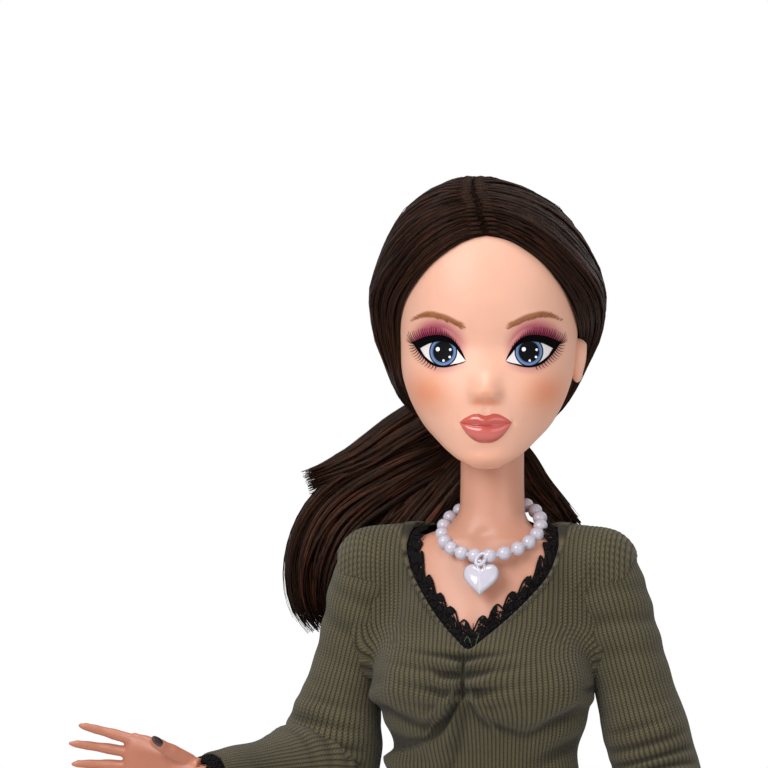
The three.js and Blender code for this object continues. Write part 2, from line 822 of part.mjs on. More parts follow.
function forearm() {
  const rings = [
    ...forearmShares.wrist.map(([down, girth]) => circle(-down * forearmLength, girth * wristRadius)),
    ...forearmShares.elbow.map(([down, girth]) => circle(-down * forearmLength, girth * elbowRadius)),
  ];
  const room = solidOf(bar(elbowRadius + clearance, cutOverrun, barrelSides));
  const shaft = cut(solidOf(loft(rings)), room, mitre(-1, -elbowMitre));
  const blade = tongue({ ...elbowTongue, neckLength: elbowBladeShare * forearmLength });
  const knuckle = pinAlongY(solidOf(bar(wristBarrel, wristBarrel * wristBarrelShare)));
  const barrel = atHeight(knuckle, -forearmLength);
  const [fromAngle, toAngle] = wristSlotSpan;
  const wristSlot = slot({ ...wristTongue, fromAngle, toAngle, reach: wristBarrel * 2 });
  return cut(
    joined(shaft, blade, barrel),
    hole(elbowPinRadius),
    atHeight(pinAlongY(wristSlot), -forearmLength),
    atHeight(pinAlongY(hole(wristPinRadius)), -forearmLength),
  );
}

const wristBladeShare = 0.26;

function handOnTongue() {
  const blade = pinAlongY(tongue({ ...wristTongue, neckLength: handLength * wristBladeShare }));
  const room = pinAlongY(solidOf(bar(wristBarrel + clearance, cutOverrun)));
  return cut(joined(cut(hand(), room), blade), pinAlongY(hole(wristPinRadius)));
}

// Leg: a hub swings in the pelvis, the thigh spreads on the hub's tongue, and the knee hinges backwards
const hipTongue = { tongueRadius: 3.4, halfThickness: 1.5 };
const kneeTongue = { tongueRadius: 3, halfThickness: 1.5 };
const hipSlotSpan = [-8 * degree, 55 * degree];
const kneeMostBend = 112 * degree;
const kneeMitre = 32 * degree;
const thighLength = hipHeight - kneeHeight;
const footBase = bootSoleThickness + clearance;
const shinLength = kneeHeight - footBase;

function hipHub() {
  const blade = sideways(tongue({ ...hipTongue, neckLength: hipTongue.tongueRadius }));
  const arm = peg(hubPegRadius, hipTongue.tongueRadius * pegOverlapShare, hipX - clearance / 2);
  return cut(joined(blade, arm), pinAlongY(hole(hipPinRadius)));
}

// Down the thigh: place as a share of its length, then how far its girth goes from the knee's to the hip's
const thighShares = [[1, 0], [0.86, 0.1], [0.6, 0.5], [0.33, 0.92], [0.04, 1]];

function thigh() {
  const rings = thighShares.map(([down, full]) =>
    circle(-down * thighLength, THREE.MathUtils.lerp(kneeRadius, thighRadius, full)),
  );
  const [fromAngle, toAngle] = hipSlotSpan;
  const opening = sideways(
    slot({
      tongueRadius: hipTongue.tongueRadius,
      halfThickness: Math.max(hipTongue.halfThickness, hubPegRadius),
      fromAngle,
      toAngle,
      reach: hipBall * 2,
    }),
  );
  const atKnee = (solid) => atHeight(solid, -thighLength);
  const shaft = cut(solidOf(loft(rings)), atKnee(mitre(1, -kneeMitre)));
  const barrel = atKnee(solidOf(bar(kneeRadius, kneeRadius * kneeBarrelShare, barrelSides)));
  const kneeSlot = slot({ ...kneeTongue, fromAngle: 0, toAngle: kneeMostBend, reach: kneeRadius * 2 });
  return cut(
    joined(solidOf(ball(hipBall)), shaft, barrel),
    opening,
    pinAlongY(hole(hipPinRadius)),
    atKnee(kneeSlot),
    atKnee(hole(kneePinRadius)),
  );
}

// A section across the foot or boot, upright in the XZ plane at one place from heel to toe
const footSquareness = 2.6;

function footSection(y, half, low, high) {
  const rise = (high - low) / 2;
  const section = oval({ z: 0, half, front: rise, back: rise, squareness: footSquareness, around: pinSides });
  return section.map((p) => new THREE.Vector3(p.x, y, (high + low) / 2 - p.y));
}

// From heel to toe: place along the foot, half width, height
const footShares = [
  [-0.26, 0.45, 0.3],
  [-0.2, 0.72, 0.52],
  [-0.02, 0.82, 0.6],
  [0.2, 0.85, 0.5],
  [0.42, 1, 0.33],
  [0.6, 0.94, 0.24],
  [0.7, 0.6, 0.17],
];

function footSolid(offset, base) {
  const rings = footShares.map(([along, half, high], i) => {
    const past = i === 0 ? offset : i === footShares.length - 1 ? -offset : 0;
    const top = base + high * ankleHeight;
    return footSection(past - along * footLength, half * footHalfWidth + offset, base - offset, top + offset);
  });
  return solidOf(loft(rings.reverse()));
}

const ankleShaft = (offset, low, high) => solidOf(post(ankleRadius + offset, low, high));

// Down the shin: place as a share of its length, then girth as a share of the calf's
const shinShares = [[0.72, 0.72], [0.42, 1], [0.2, 0.98], [0.024, 0.91]];
const ankleFootShare = 0.3;
const kneeBladeShare = 0.19;

function lowerLeg() {
  const base = -shinLength;
  const ankle = ankleHeight - kneeHeight;
  const rings = [
    circle(base + ankleHeight * ankleFootShare, ankleRadius),
    circle(bootTopHeight + clearance - kneeHeight, ankleRadius),
    ...shinShares.map(([down, girth]) => circle(ankle * down, calfRadius * girth)),
  ];
  const room = solidOf(bar(kneeRadius + clearance, cutOverrun, barrelSides));
  const shaft = cut(solidOf(loft(rings)), room, mitre(1, kneeMitre));
  const blade = tongue({ ...kneeTongue, neckLength: -ankle * kneeBladeShare });
  return cut(joined(shaft, blade, footSolid(0, base)), hole(kneePinRadius));
}

// Boots, in the lower leg's frame: a soft upper open at the top, on a flat sole
const bootWall = skinGap + bootLeather;

function bootUpper() {
  const base = footBase - kneeHeight;
  const top = bootTopHeight - kneeHeight;
  const floor = bootSoleThickness - kneeHeight;
  const outer = joined(footSolid(bootWall, base), ankleShaft(bootWall, base, top));
  const inner = joined(footSolid(skinGap, base), ankleShaft(skinGap, base, top + cutOverrun));
  const under = solidOf(block(-cutOverrun, cutOverrun, -cutOverrun, cutOverrun, floor - cutOverrun, floor));
  const below = solidOf(
    block(-cutOverrun, cutOverrun, -cutOverrun, cutOverrun, floor - cutOverrun, base - skinGap / 2),
  );
  return cut(outer, cut(inner, below), under);
}

// The sole's ends are half ovals: how far each bulges, as a share of its half width
const soleBulgeShare = 0.6;
const soleHeelShare = 0.8;
const soleArcSteps = 8;

function bootSole() {
  const welt = bootWall + clearance;
  const [, [heelAlong], , , , [toeAlong]] = footShares;
  const ends = [
    { y: -toeAlong * footLength - welt, half: footHalfWidth + welt, way: 1 },
    { y: -heelAlong * footLength, half: footHalfWidth * soleHeelShare + welt, way: -1 },
  ];
  const outline = ends.flatMap(({ y, half, way }) =>
    Array.from({ length: soleArcSteps + 1 }, (_, i) => {
      const angle = (Math.PI * i) / soleArcSteps;
      const bulge = half * soleBulgeShare * Math.sin(angle);
      return new THREE.Vector2(way * half * Math.cos(angle), y - way * bulge);
    }),
  );
  const shape = new THREE.Shape(outline);
  const solid = new THREE.ExtrudeGeometry(shape, { depth: bootSoleThickness, bevelEnabled: false });
  return solidOf(solid.translate(0, 0, -kneeHeight));
}

// Clothes
const sweaterOffset = skinGap + knitThickness;
const ballClearance = shoulderBall + skinGap;

// The neckline's V in front, from the shoulder seam down: shares of its half width and depth
const necklineHalfWidth = 14.3;
const necklineDepth = 17.6;
const necklineTop = 229.6;
const necklineShares = [
  [1, 0],
  [0.95, 0.15],
  [0.9, 0.31],
  [0.78, 0.46],
  [0.64, 0.61],
  [0.44, 0.77],
  [0.2, 0.92],
  [0, 1],
];
const laceWidth = 2.4;
const backNecklineDepth = 8.4;
const backNecklineLow = 226.1;
// How much faster the V narrows in its depth than in its width, when an edge is set in from it
const necklineInsetShare = 1.5;

function necklinePrism(inset, lowY, highY) {
  const side = necklineShares.map(([x, down]) => [
    x * (necklineHalfWidth - inset),
    necklineTop - down * (necklineDepth - inset * necklineInsetShare),
  ]);
  const left = [...side].reverse().slice(1).map(([x, z]) => [-x, z]);
  const top = neckTopHeight + cutOverrun;
  const [[widest]] = side;
  return prismAlongY([...side, ...left, [-widest, top], [widest, top]], lowY, highY);
}

// Behind the neck the opening is half an oval, seen from above
function backNecklinePrism(inset) {
  const arcSteps = 8;
  const outline = Array.from({ length: arcSteps + 1 }, (_, i) => {
    const angle = (Math.PI * i) / arcSteps;
    const wide = necklineHalfWidth - inset;
    return new THREE.Vector2(wide * Math.cos(angle), (backNecklineDepth - inset) * Math.sin(angle));
  });
  const depth = neckTopHeight + cutOverrun - backNecklineLow;
  const prism = new THREE.ExtrudeGeometry(new THREE.Shape(outline), { depth, bevelEnabled: false });
  return solidOf(prism.translate(0, 0, backNecklineLow));
}

const neckline = (inset) => joined(necklinePrism(inset, -cutOverrun, clearance), backNecklinePrism(inset));

function shell(outerOffset, innerOffset) {
  return cut(trunkSolid(outerOffset), trunkSolid(innerOffset));
}

const shoulderBalls = (radius) =>
  [-1, 1].map((side) => solidOf(moved(ball(radius), side * shoulderX, 0, shoulderHeight)));

function sweaterBody() {
  const span = slab(sweaterHemHeight, neckTopHeight + cutOverrun);
  return cut(shell(sweaterOffset, skinGap).intersect(span), neckline(0), ...shoulderBalls(ballClearance));
}

function necklineLace() {
  const band = shell(skinGap + laceThickness, skinGap).intersect(neckline(clearance));
  const span = slab(waistHeight, necklineTop + laceWidth * 2);
  return cut(band.intersect(span), neckline(laceWidth), ...shoulderBalls(ballClearance));
}

// The arm's route at rest in the torso's frame, from the shoulder through the elbow to the wrist
function armRoute(matrix, pose) {
  const fore = new THREE.Vector3(0, 0, -1)
    .applyAxisAngle(xAxis, -pose.bend * degree)
    .applyAxisAngle(zAxis, pose.turnZ);
  const elbow = new THREE.Vector3(0, 0, -upperArmLength);
  const wrist = elbow.clone().addScaledVector(fore, forearmLength);
  return [new THREE.Vector3(), elbow, wrist].map((p) => p.applyMatrix4(matrix));
}

const sleeveEndShare = 0.86;
const upperRouteShares = [0, 0.25, 0.5, 0.75, 1];
const lowerRouteShares = [0.25, 0.45, 0.65, sleeveEndShare];

function bentRoute([shoulder, elbow, wrist]) {
  const upper = upperRouteShares.map((share) => shoulder.clone().lerp(elbow, share));
  const lower = lowerRouteShares.map((share) => elbow.clone().lerp(wrist, share));
  return new THREE.CatmullRomCurve3([...upper, ...lower], false, "centripetal");
}

const sleeveCuffShare = 0.62;
const sleeveGirthShares = [[0, 1], [0.48, 1.02], [0.66, 1], [0.8, 0.84], [1, sleeveCuffShare]];
const sleeveSteps = 11;
const bentElbowShares = [[0.36, 0], [0.46, 0.24], [0.62, 0.26], [0.74, 0]];

function sleeve(route, bend) {
  const curve = bentRoute(route);
  const fullness = Math.sin(bend * degree);
  const girth = (share) => between(sleeveGirthShares, share) + fullness * between(bentElbowShares, share);
  const radii = (thickness) => ({
    steps: sleeveSteps,
    around: limbSides,
    radiusAt: (share) => girth(share) * sleeveRadius - thickness,
  });
  const [shoulder] = route;
  const dome = (radius) => solidOf(ball(radius).translate(...shoulder));
  const domeRadius = Math.max(ballClearance + knitThickness, sleeveRadius);
  const outer = joined(solidOf(sweep(curve, radii(0))), dome(domeRadius));
  const inner = joined(
    solidOf(sweep(curve, { ...radii(knitThickness), overrun: knitThickness * 2 })),
    dome(domeRadius - knitThickness),
  );
  return cut(outer, inner, trunkSolid(sweaterOffset + clearance));
}

const cuffLaceLength = 3.4;
const cuffLaceFlare = 0.5;
const cuffLaceThickness = 0.45;
const cuffSteps = 2;

function cuffLace([, elbow, wrist]) {
  const way = wrist.clone().sub(elbow).normalize();
  const start = elbow.clone().lerp(wrist, sleeveEndShare).addScaledVector(way, clearance);
  const curve = new THREE.LineCurve3(start, start.clone().addScaledVector(way, cuffLaceLength));
  const wide = sleeveRadius * sleeveCuffShare - knitThickness / 2;
  const tube = (thickness, overrun) => {
    const radiusAt = (share) => wide + cuffLaceFlare * share - thickness;
    return solidOf(sweep(curve, { steps: cuffSteps, around: roundSides, radiusAt, overrun }));
  };
  return cut(tube(0, 0), tube(cuffLaceThickness, laceThickness));
}

// Trousers: a seat round the pelvis with a leg hole under each hip, and two legs
const seatShares = [
  // height from the crotch, half width, front, back
  [0, 1.06, 0.8, 0.86],
  [0.16, 1.09, 0.84, 0.97],
  [0.4, 1.08, 0.85, 1.1],
  [0.66, 1.05, 0.87, 1.12],
  [0.86, 0.99, 0.84, 1.01],
  [1, 0.94, 0.81, 0.93],
];
const seatSquareness = 2.7;
const seatFloor = crotchHeight - twillThickness - clearance;

function seatSolid(offset, low, high) {
  const rings = seatShares.map(([up, half, front, back]) =>
    oval({
      z: seatFloor + up * (trouserTopHeight - seatFloor),
      half: half * hipHalfWidth + offset,
      front: front * seatDepth + offset,
      back: back * seatDepth + offset,
      squareness: seatSquareness,
      around: trunkSides,
    }),
  );
  rings[0].forEach((p) => p.setZ(low));
  rings[rings.length - 1].forEach((p) => p.setZ(high));
  return solidOf(loft(rings));
}

function trouserSeat() {
  const outer = seatSolid(twillThickness, seatFloor, trouserTopHeight);
  const inner = seatSolid(0, seatFloor + twillThickness, trouserTopHeight + cutOverrun);
  const legHole = post(hipBall + skinGap, seatFloor - cutOverrun, crotchHeight + clearance, barrelSides);
  const holes = [-1, 1].map((side) => solidOf(moved(legHole, side * hipX, 0, 0)));
  return cut(outer, inner, ...holes);
}

// One trouser leg in the thigh's frame, as it hangs over the straight leg.
// The shares place its sections between the knee and the hem, and down the thigh.
const trouserShares = { ankle: 0.67, calf: 0.33, thigh: 0.6 };

function trouserLeg() {
  const top = seatFloor - clearance - hipHeight;
  const hem = trouserHemHeight - hipHeight;
  const knee = -thighLength;
  const below = (share) => THREE.MathUtils.lerp(knee, hem, share);
  const stations = [
    [hem, ankleRadius + bootWall + trouserLegEase],
    [below(trouserShares.ankle), calfRadius + trouserLegEase / 2],
    [below(trouserShares.calf), calfRadius + trouserLegEase],
    [knee, kneeRadius + trouserLegEase],
    [knee * trouserShares.thigh, (kneeRadius + thighRadius) / 2 + trouserLegEase],
    [top, hipBall + skinGap],
  ];
  const last = stations.length - 1;
  const rings = (offset, past) =>
    stations.map(([z, radius], i) => {
      const overrun = i === 0 ? -past : i === last ? past : 0;
      return circle(z + overrun, radius + offset, barrelSides);
    });
  return cut(solidOf(loft(rings(twillThickness, 0))), solidOf(loft(rings(0, clearance))));
}

// Necklace: beads moulded on one strand round the neck, with a heart that hangs in front
const strandHalfWidth = 8.4;
const strandHalfDepth = 9.2;
const strandCentreY = -1.2;
const strandHeight = 233.9;
const strandDrop = 5.4;
const strandRadius = 0.5;
const heartThickness = 1.9;

function strandPoint(share) {
  const angle = 2 * Math.PI * share;
  return new THREE.Vector3(
    strandHalfWidth * Math.sin(angle),
    strandCentreY - strandHalfDepth * Math.cos(angle),
    strandHeight - strandDrop * Math.cos(angle),
  );
}

// The right half of the heart, as bezier curves from the point at its foot: shares of its half width
const heartShares = [
  [[0.3, -0.55], [1, -0.2], [1, 0.35]],
  [[1, 1.05], [0.2, 1.1], [0, 0.6]],
];
const heartCurveSegments = 3;

function heartSolid() {
  const half = heartWidth / 2;
  const shape = new THREE.Shape();
  const sized = heartShares.map((curve) => curve.map(([x, y]) => [x * half, y * half]));
  const [[low, mid, side], [top, inner, dip]] = sized;
  const mirror = ([x, y]) => [-x, y];
  shape.moveTo(0, -half);
  shape.bezierCurveTo(...low, ...mid, ...side);
  shape.bezierCurveTo(...top, ...inner, ...dip);
  shape.bezierCurveTo(...mirror(inner), ...mirror(top), ...mirror(side));
  shape.bezierCurveTo(...mirror(mid), ...mirror(low), 0, -half);
  const bevel = heartThickness / 3;
  const geometry = new THREE.ExtrudeGeometry(shape, {
    depth: bevel,
    bevelThickness: bevel,
    bevelSize: bevel,
    bevelOffset: -bevel,
    bevelSegments: 1,
    curveSegments: heartCurveSegments,
  });
  return geometry.translate(0, 0, -bevel / 2).rotateX(Math.PI / 2);
}

const beadSides = 5;
const heartLean = 24 * degree;
const heartForward = 1.2;

// One bead is three rings of the strand: thin, full, full, and thin again where the next begins
const beadGirthShares = [0, 0.93, 0.93];
// The strand's clasp is a small gap behind the neck, measured in rings
const claspShare = 0.3;
const heartDrop = 4.54;
const bailLength = 3.31;

function necklace() {
  const count = beadCount * beadGirthShares.length;
  const radii = beadGirthShares.map((share) => Math.max(share * beadRadius, strandRadius));
  const rings = Array.from({ length: count + 1 }, (_, i) => {
    const share = 0.5 + (i + claspShare) / (count + 2 * claspShare);
    const centre = strandPoint(share);
    const ahead = strandPoint(share + 1 / count).sub(centre).normalize();
    const outward = new THREE.Vector3().crossVectors(ahead, zAxis).normalize();
    const upward = new THREE.Vector3().crossVectors(ahead, outward);
    const radius = radii[i % radii.length];
    return Array.from({ length: beadSides }, (_unused, k) => {
      const angle = (2 * Math.PI * k) / beadSides;
      return centre
        .clone()
        .addScaledVector(outward, Math.cos(angle) * radius)
        .addScaledVector(upward, Math.sin(angle) * radius);
    });
  });
  const front = strandPoint(0);
  const bail = solidOf(post(strandRadius, -bailLength, 0, fingerSides).translate(...front));
  const heartPlace = [front.x, front.y - heartForward, front.z - heartDrop];
  const heart = heartSolid().rotateX(-heartLean).translate(...heartPlace);
  return joined(solidOf(loft(rings)), bail, solidOf(heart));
}

// Assembly
// The origin is on the floor, under the middle of the whole doll
const part = new THREE.Group();
const doll = new THREE.Group();
part.add(doll);

function piece(name, geometry, material, parent) {
  const mesh = new THREE.Mesh(geometry, new THREE.MeshStandardMaterial(finishes[material]));
  mesh.name = name;
  parent.add(mesh);
  return mesh;
}

function pivot(name, parent, x, y, z) {
  const group = new THREE.Group();
  group.name = name;
  group.position.set(x, y, z);
  parent.add(group);
  return group;
}

// A left-hand shape, or its mirror image for the right
function sided(solid, side) {
  const geometry = geometryOf(solid);
  if (side > 0) return geometry;
  geometry.scale(-1, 1, 1);
  const { array } = geometry.index;
  for (let i = 0; i < array.length; i += 3) [array[i + 1], array[i + 2]] = [array[i + 2], array[i + 1]];
  return geometry;
}

function pin(name, radius, halfLength, parent) {
  return piece(name, bar(radius, halfLength), "steel", parent);
}

const pinShareOfBall = 0.8;
const elbowPinHalfLength = elbowRadius * elbowBarrelShare * pinInBarrelShare;
const kneePinHalfLength = kneeRadius * kneeBarrelShare * pinInBarrelShare;
const wristPinHalfLength = wristBarrel * wristBarrelShare * pinInBarrelShare;

function buildArm(label, side, pose) {
  const swing = pivot(`${label}_shoulder_swing`, doll, side * shoulderX, 0, shoulderHeight);
  swing.rotation.x = pose.swing * degree;
  piece(`${label}_shoulder_hub`, sided(shoulderHub(), side), "bodySkin", swing);
  const shoulderPin = pin(`${label}_shoulder_pin`, shoulderPinRadius, shoulderBall * pinShareOfBall, swing);
  shoulderPin.rotation.z = Math.PI / 2;

  const raise = pivot(`${label}_shoulder_raise`, swing, 0, 0, 0);
  raise.rotation.y = -side * pose.raise * degree;
  piece(`${label}_upper_arm`, sided(upperArm(), side), "bodySkin", raise);

  const twist = pivot(`${label}_elbow_twist`, raise, 0, 0, -upperArmLength);
  twist.rotation.z = side * pose.twist * degree;
  piece(`${label}_elbow_fork`, sided(elbowFork(), side), "bodySkin", twist);
  pin(`${label}_elbow_pin`, elbowPinRadius, elbowPinHalfLength, twist);

  const bend = pivot(`${label}_elbow_bend`, twist, 0, 0, 0);
  bend.rotation.x = -pose.bend * degree;
  piece(`${label}_forearm`, sided(forearm(), side), "bodySkin", bend);
  const wristPin = pin(`${label}_wrist_pin`, wristPinRadius, wristPinHalfLength, bend);
  wristPin.rotation.z = Math.PI / 2;
  wristPin.position.z = -forearmLength;

  const wrist = pivot(`${label}_wrist`, bend, 0, 0, -forearmLength);
  wrist.rotation.y = -side * pose.wrist * degree;
  piece(`${label}_hand`, sided(handOnTongue(), side), "vinylSkin", wrist);

  doll.updateMatrixWorld(true);
  const route = armRoute(raise.matrixWorld, { bend: pose.bend, turnZ: side * pose.twist * degree });
  piece(`${label}_sleeve`, geometryOf(sleeve(route, pose.bend)), "knit", doll);
  piece(`${label}_cuff_lace`, geometryOf(cuffLace(route)), "lace", doll);
}

function buildLeg(label, side) {
  const swing = pivot(`${label}_hip_swing`, doll, side * hipX, 0, hipHeight);
  piece(`${label}_hip_hub`, sided(hipHub(), side), "bodySkin", swing);
  pin(`${label}_hip_pin`, hipPinRadius, hipBall * pinShareOfBall, swing).rotation.z = Math.PI / 2;

  const spread = pivot(`${label}_hip_spread`, swing, 0, 0, 0);
  piece(`${label}_thigh`, sided(thigh(), side), "bodySkin", spread);
  pin(`${label}_knee_pin`, kneePinRadius, kneePinHalfLength, spread).position.z = -thighLength;
  piece(`${label}_trouser_leg`, geometryOf(trouserLeg()), "twill", spread);

  const knee = pivot(`${label}_knee`, spread, 0, 0, -thighLength);
  piece(`${label}_lower_leg`, sided(lowerLeg(), side), "bodySkin", knee);
  piece(`${label}_boot_upper`, geometryOf(bootUpper()), "boot", knee);
  piece(`${label}_boot_sole`, geometryOf(bootSole()), "boot", knee);
}

function buildHead() {
  const turn = pivot("head_turn", doll, 0, neckCentreY, neckPivotHeight);
  turn.rotation.z = headTurn * degree;
  const head = pivot("head_nod", turn, 0, 0, 0);
  const place = (mesh) => mesh.position.set(0, -neckCentreY, -neckPivotHeight);
  place(piece("neck_knob", geometryOf(neckKnob()), "bodySkin", turn));
  place(piece("head_shell", geometryOf(headShell()), "vinylSkin", head));
  pin("head_pin", headPinRadius, headPinHalfLength, head);
  place(piece("scalp_hair", geometryOf(scalpHair()), "hair", head));
  const band = new THREE.TorusGeometry(tieRadius, tieBand, fingerSides, roundSides);
  place(piece("hair_tie", band.applyMatrix4(tiePlace()), "lace", head));
  place(piece("ponytail", geometryOf(ponytail()), "hair", head));
}

piece("pelvis", geometryOf(pelvis()), "bodySkin", doll);
piece("torso_front", geometryOf(torsoHalf(-1)), "bodySkin", doll);
piece("torso_back", geometryOf(torsoHalf(1)), "bodySkin", doll);
piece("sweater_body", geometryOf(sweaterBody()), "knit", doll);
piece("neckline_lace", geometryOf(necklineLace()), "lace", doll);
piece("trouser_seat", geometryOf(trouserSeat()), "twill", doll);
piece("necklace", geometryOf(necklace()), "pearl", doll);
buildHead();
buildArm("right", -1, rightArmPose);
buildArm("left", 1, leftArmPose);
buildLeg("right", -1);
buildLeg("left", 1);

const bounds = new THREE.Box3().setFromObject(doll);
const middle = bounds.getCenter(new THREE.Vector3());
doll.position.set(-middle.x, -middle.y, -bounds.min.z);

export default part;
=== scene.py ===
"""A jointed fashion doll in a ribbed sweater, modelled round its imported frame."""

import json
import math

import bpy
import numpy as np
from mathutils import Matrix, Vector


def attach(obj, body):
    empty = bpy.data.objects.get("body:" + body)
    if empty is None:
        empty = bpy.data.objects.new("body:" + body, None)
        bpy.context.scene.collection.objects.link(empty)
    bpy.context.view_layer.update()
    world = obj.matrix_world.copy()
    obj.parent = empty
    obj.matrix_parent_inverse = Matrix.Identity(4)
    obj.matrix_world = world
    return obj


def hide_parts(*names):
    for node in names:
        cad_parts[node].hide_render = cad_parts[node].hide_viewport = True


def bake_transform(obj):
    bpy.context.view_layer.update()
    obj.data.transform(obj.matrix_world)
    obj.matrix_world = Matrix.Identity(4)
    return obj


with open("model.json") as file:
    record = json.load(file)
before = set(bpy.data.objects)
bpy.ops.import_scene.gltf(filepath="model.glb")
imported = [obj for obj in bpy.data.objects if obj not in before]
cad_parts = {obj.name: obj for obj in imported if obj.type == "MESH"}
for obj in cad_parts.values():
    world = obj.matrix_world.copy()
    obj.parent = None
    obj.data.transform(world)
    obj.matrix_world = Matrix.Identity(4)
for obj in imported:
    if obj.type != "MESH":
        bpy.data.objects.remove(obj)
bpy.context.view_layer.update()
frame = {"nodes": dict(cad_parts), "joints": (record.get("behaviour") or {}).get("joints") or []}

bl_info = {
    "name": "Jointed fashion doll",
    "version": (1, 0, 0),
    "blender": (4, 5, 0),
    "location": "View3D > Sidebar > Doll",
    "description": "Models the doll's head, hair, clothes and finishes round its frame",
    "category": "Mesh",
}

MM = 0.001
TURN = 2 * math.pi
NODES = frame["nodes"]
JOINTS = {joint["name"]: joint for joint in frame["joints"]}
SIDES = {"right": -1, "left": 1}

# The doll stands on its own axis, a little off the origin. Tables below are in mm from that axis.
NECK_Y = 1.0
NECK = np.array(JOINTS["head_turn"]["pos_m"]) / MM
AXIS = np.array([NECK[0], NECK[1] - NECK_Y, 0.0])
NOD = JOINTS["head_nod"]["axis"]
VIEW_TURN = math.atan2(NOD[1], NOD[0])
HEAD_TURN = VIEW_TURN - math.radians(2.3)
SEAM = 2e-6

CHIN_Z, HEAD_TALL = 243.1, 46.9
HEAD_HALF, FACE_DEEP, SKULL_DEEP = 15.2, 16.0, 16.0
HEAD_SQUARE = 2.1
# Up the head: share of its height, then half width, face depth and skull depth as shares
HEAD_ROWS = [
    (-0.014, 0.0, 0.7, -0.7), (-0.008, 0.12, 0.745, -0.69), (0, 0.17, 0.785, -0.66),
    (0.018, 0.285, 0.84, -0.5), (0.05, 0.42, 0.89, -0.28),
    (0.09, 0.548, 0.93, 0.02), (0.135, 0.68, 0.96, 0.42), (0.18, 0.773, 0.975, 0.66),
    (0.23, 0.852, 0.985, 0.78), (0.285, 0.915, 0.975, 0.86), (0.345, 0.965, 0.945, 0.94),
    (0.42, 0.99, 0.905, 0.99), (0.5, 1, 0.925, 1), (0.58, 1, 0.955, 1), (0.66, 0.985, 0.945, 0.97),
    (0.745, 0.93, 0.895, 0.91), (0.825, 0.825, 0.785, 0.8), (0.9, 0.66, 0.61, 0.64),
    (0.955, 0.44, 0.4, 0.42), (0.988, 0.2, 0.18, 0.19), (0.996, 0, 0, 0),
]
HAIR_HALF, HAIR_CENTRE = 19.7, np.array([0.0, 1.5, 266.0])
HAIR_ROWS = [
    (0.0, 0.42, 0.1, 0.6), (0.06, 0.5, 0.2, 0.74), (0.12, 0.62, 0.4, 0.92), (0.2, 0.72, 0.5, 1.04),
    (0.29, 0.81, 0.7, 1.12), (0.37, 0.88, 0.9, 1.17), (0.45, 0.955, 1.02, 1.2), (0.53, 0.99, 1.08, 1.2),
    (0.58, 1, 1.1, 1.19), (0.66, 0.975, 1.09, 1.15), (0.74, 0.9, 1.05, 1.08), (0.81, 0.825, 0.97, 0.98),
    (0.88, 0.72, 0.84, 0.83), (0.94, 0.58, 0.67, 0.65), (0.99, 0.39, 0.45, 0.42), (1.03, 0.14, 0.16, 0.14),
]
# Where the hair begins: the hairline in mm from the parting down the temple to the nape and the tie
HAIRLINE = [
    (0, -12.9, 281.5), (3.3, -12.9, 280.7), (6.8, -12.4, 278.6), (9.8, -11.2, 276.0), (12.2, -9.6, 273.3),
    (14.0, -7.2, 270.6), (15.1, -3.6, 267.4), (15.6, 0.6, 264.4), (15.4, 3.6, 259.6), (14.4, 6.2, 254.6),
    (11.6, 9.2, 249.6), (7.4, 12.4, 246.8), (3.2, 14.9, 246.2), (0.8, 16.3, 247.4),
]
EAR_COVER = [(15.3, -4.4, 266.8), (16.1, -3.8, 262.4), (16.1, -2.8, 258.0), (15.0, 1.4, 254.4)]
PARTING = [(0, -12.9, 281.5), (0, -9, 286.5), (0, -3, 290), (0, 3, 290.8), (0, 9, 288)]
HAIR_BACK = [(0, 9, 288), (0, 14, 283), (0, 18, 275), (0, 19, 268), (0, 18.6, 260), (0, 18, 254),
             (0.3, 17.6, 252.4)]
TIE = np.array([0.0, 17.3, 250.0])
TIE_TILT = math.radians(22)
TIE_WAY = np.array([0.0, math.cos(TIE_TILT), -math.sin(TIE_TILT)])
TIE_UP = np.array([0.0, math.sin(TIE_TILT), math.cos(TIE_TILT)])

# Painted features of one side of the face, in mm across and up. The other side is mirrored.
WHITE_TOP = [(-12.74, 263.41), (-11.64, 262.8), (-10.93, 263.13), (-9.99, 263.56), (-8.79, 263.84),
             (-7.44, 263.91), (-6.05, 263.46), (-5.29, 262.9), (-4.55, 261.95), (-3.45, 260.67)]
WHITE_LOW = [(-12.74, 263.41), (-11.64, 262.8), (-10.93, 261.68), (-9.99, 260.84), (-9.24, 260.36),
             (-8.11, 259.91), (-7.1, 259.82), (-5.68, 260.13), (-4.55, 260.33), (-3.45, 260.67)]
LINER_TOP = [(-13.1, 263.75), (-11.86, 264.3), (-10.93, 264.68), (-9.99, 264.9), (-9.06, 265.02),
             (-8.11, 265.03), (-7.17, 264.9), (-6.24, 264.5), (-5.29, 263.75), (-4.55, 262.88),
             (-3.99, 261.95), (-3.4, 260.6)]
LINER_LOW = [(-12.74, 263.41), (-11.86, 262.14), (-11.12, 261.29), (-10.36, 260.55), (-9.43, 259.99),
             (-8.48, 259.67), (-7.37, 259.57), (-6.05, 259.74), (-4.92, 260.06), (-3.79, 260.43),
             (-3.45, 260.67)]
BROW_TOP = [(-13.94, 266.89), (-12.81, 267.87), (-11.68, 268.53), (-10.55, 268.9), (-9.43, 268.95),
            (-8.3, 268.71), (-7.17, 268.44), (-6.05, 267.97), (-4.92, 267.39), (-3.79, 266.84),
            (-3.3, 266.21)]
BROW_LOW = [(-13.94, 266.85), (-12.81, 267.39), (-11.68, 267.78), (-10.55, 267.9), (-9.43, 267.9),
            (-8.3, 267.68), (-7.17, 267.36), (-6.05, 266.94), (-4.92, 266.46), (-3.79, 265.99),
            (-3.3, 266.08)]
IRIS = (-7.49, 262.21)
IRIS_REACH = 2.5
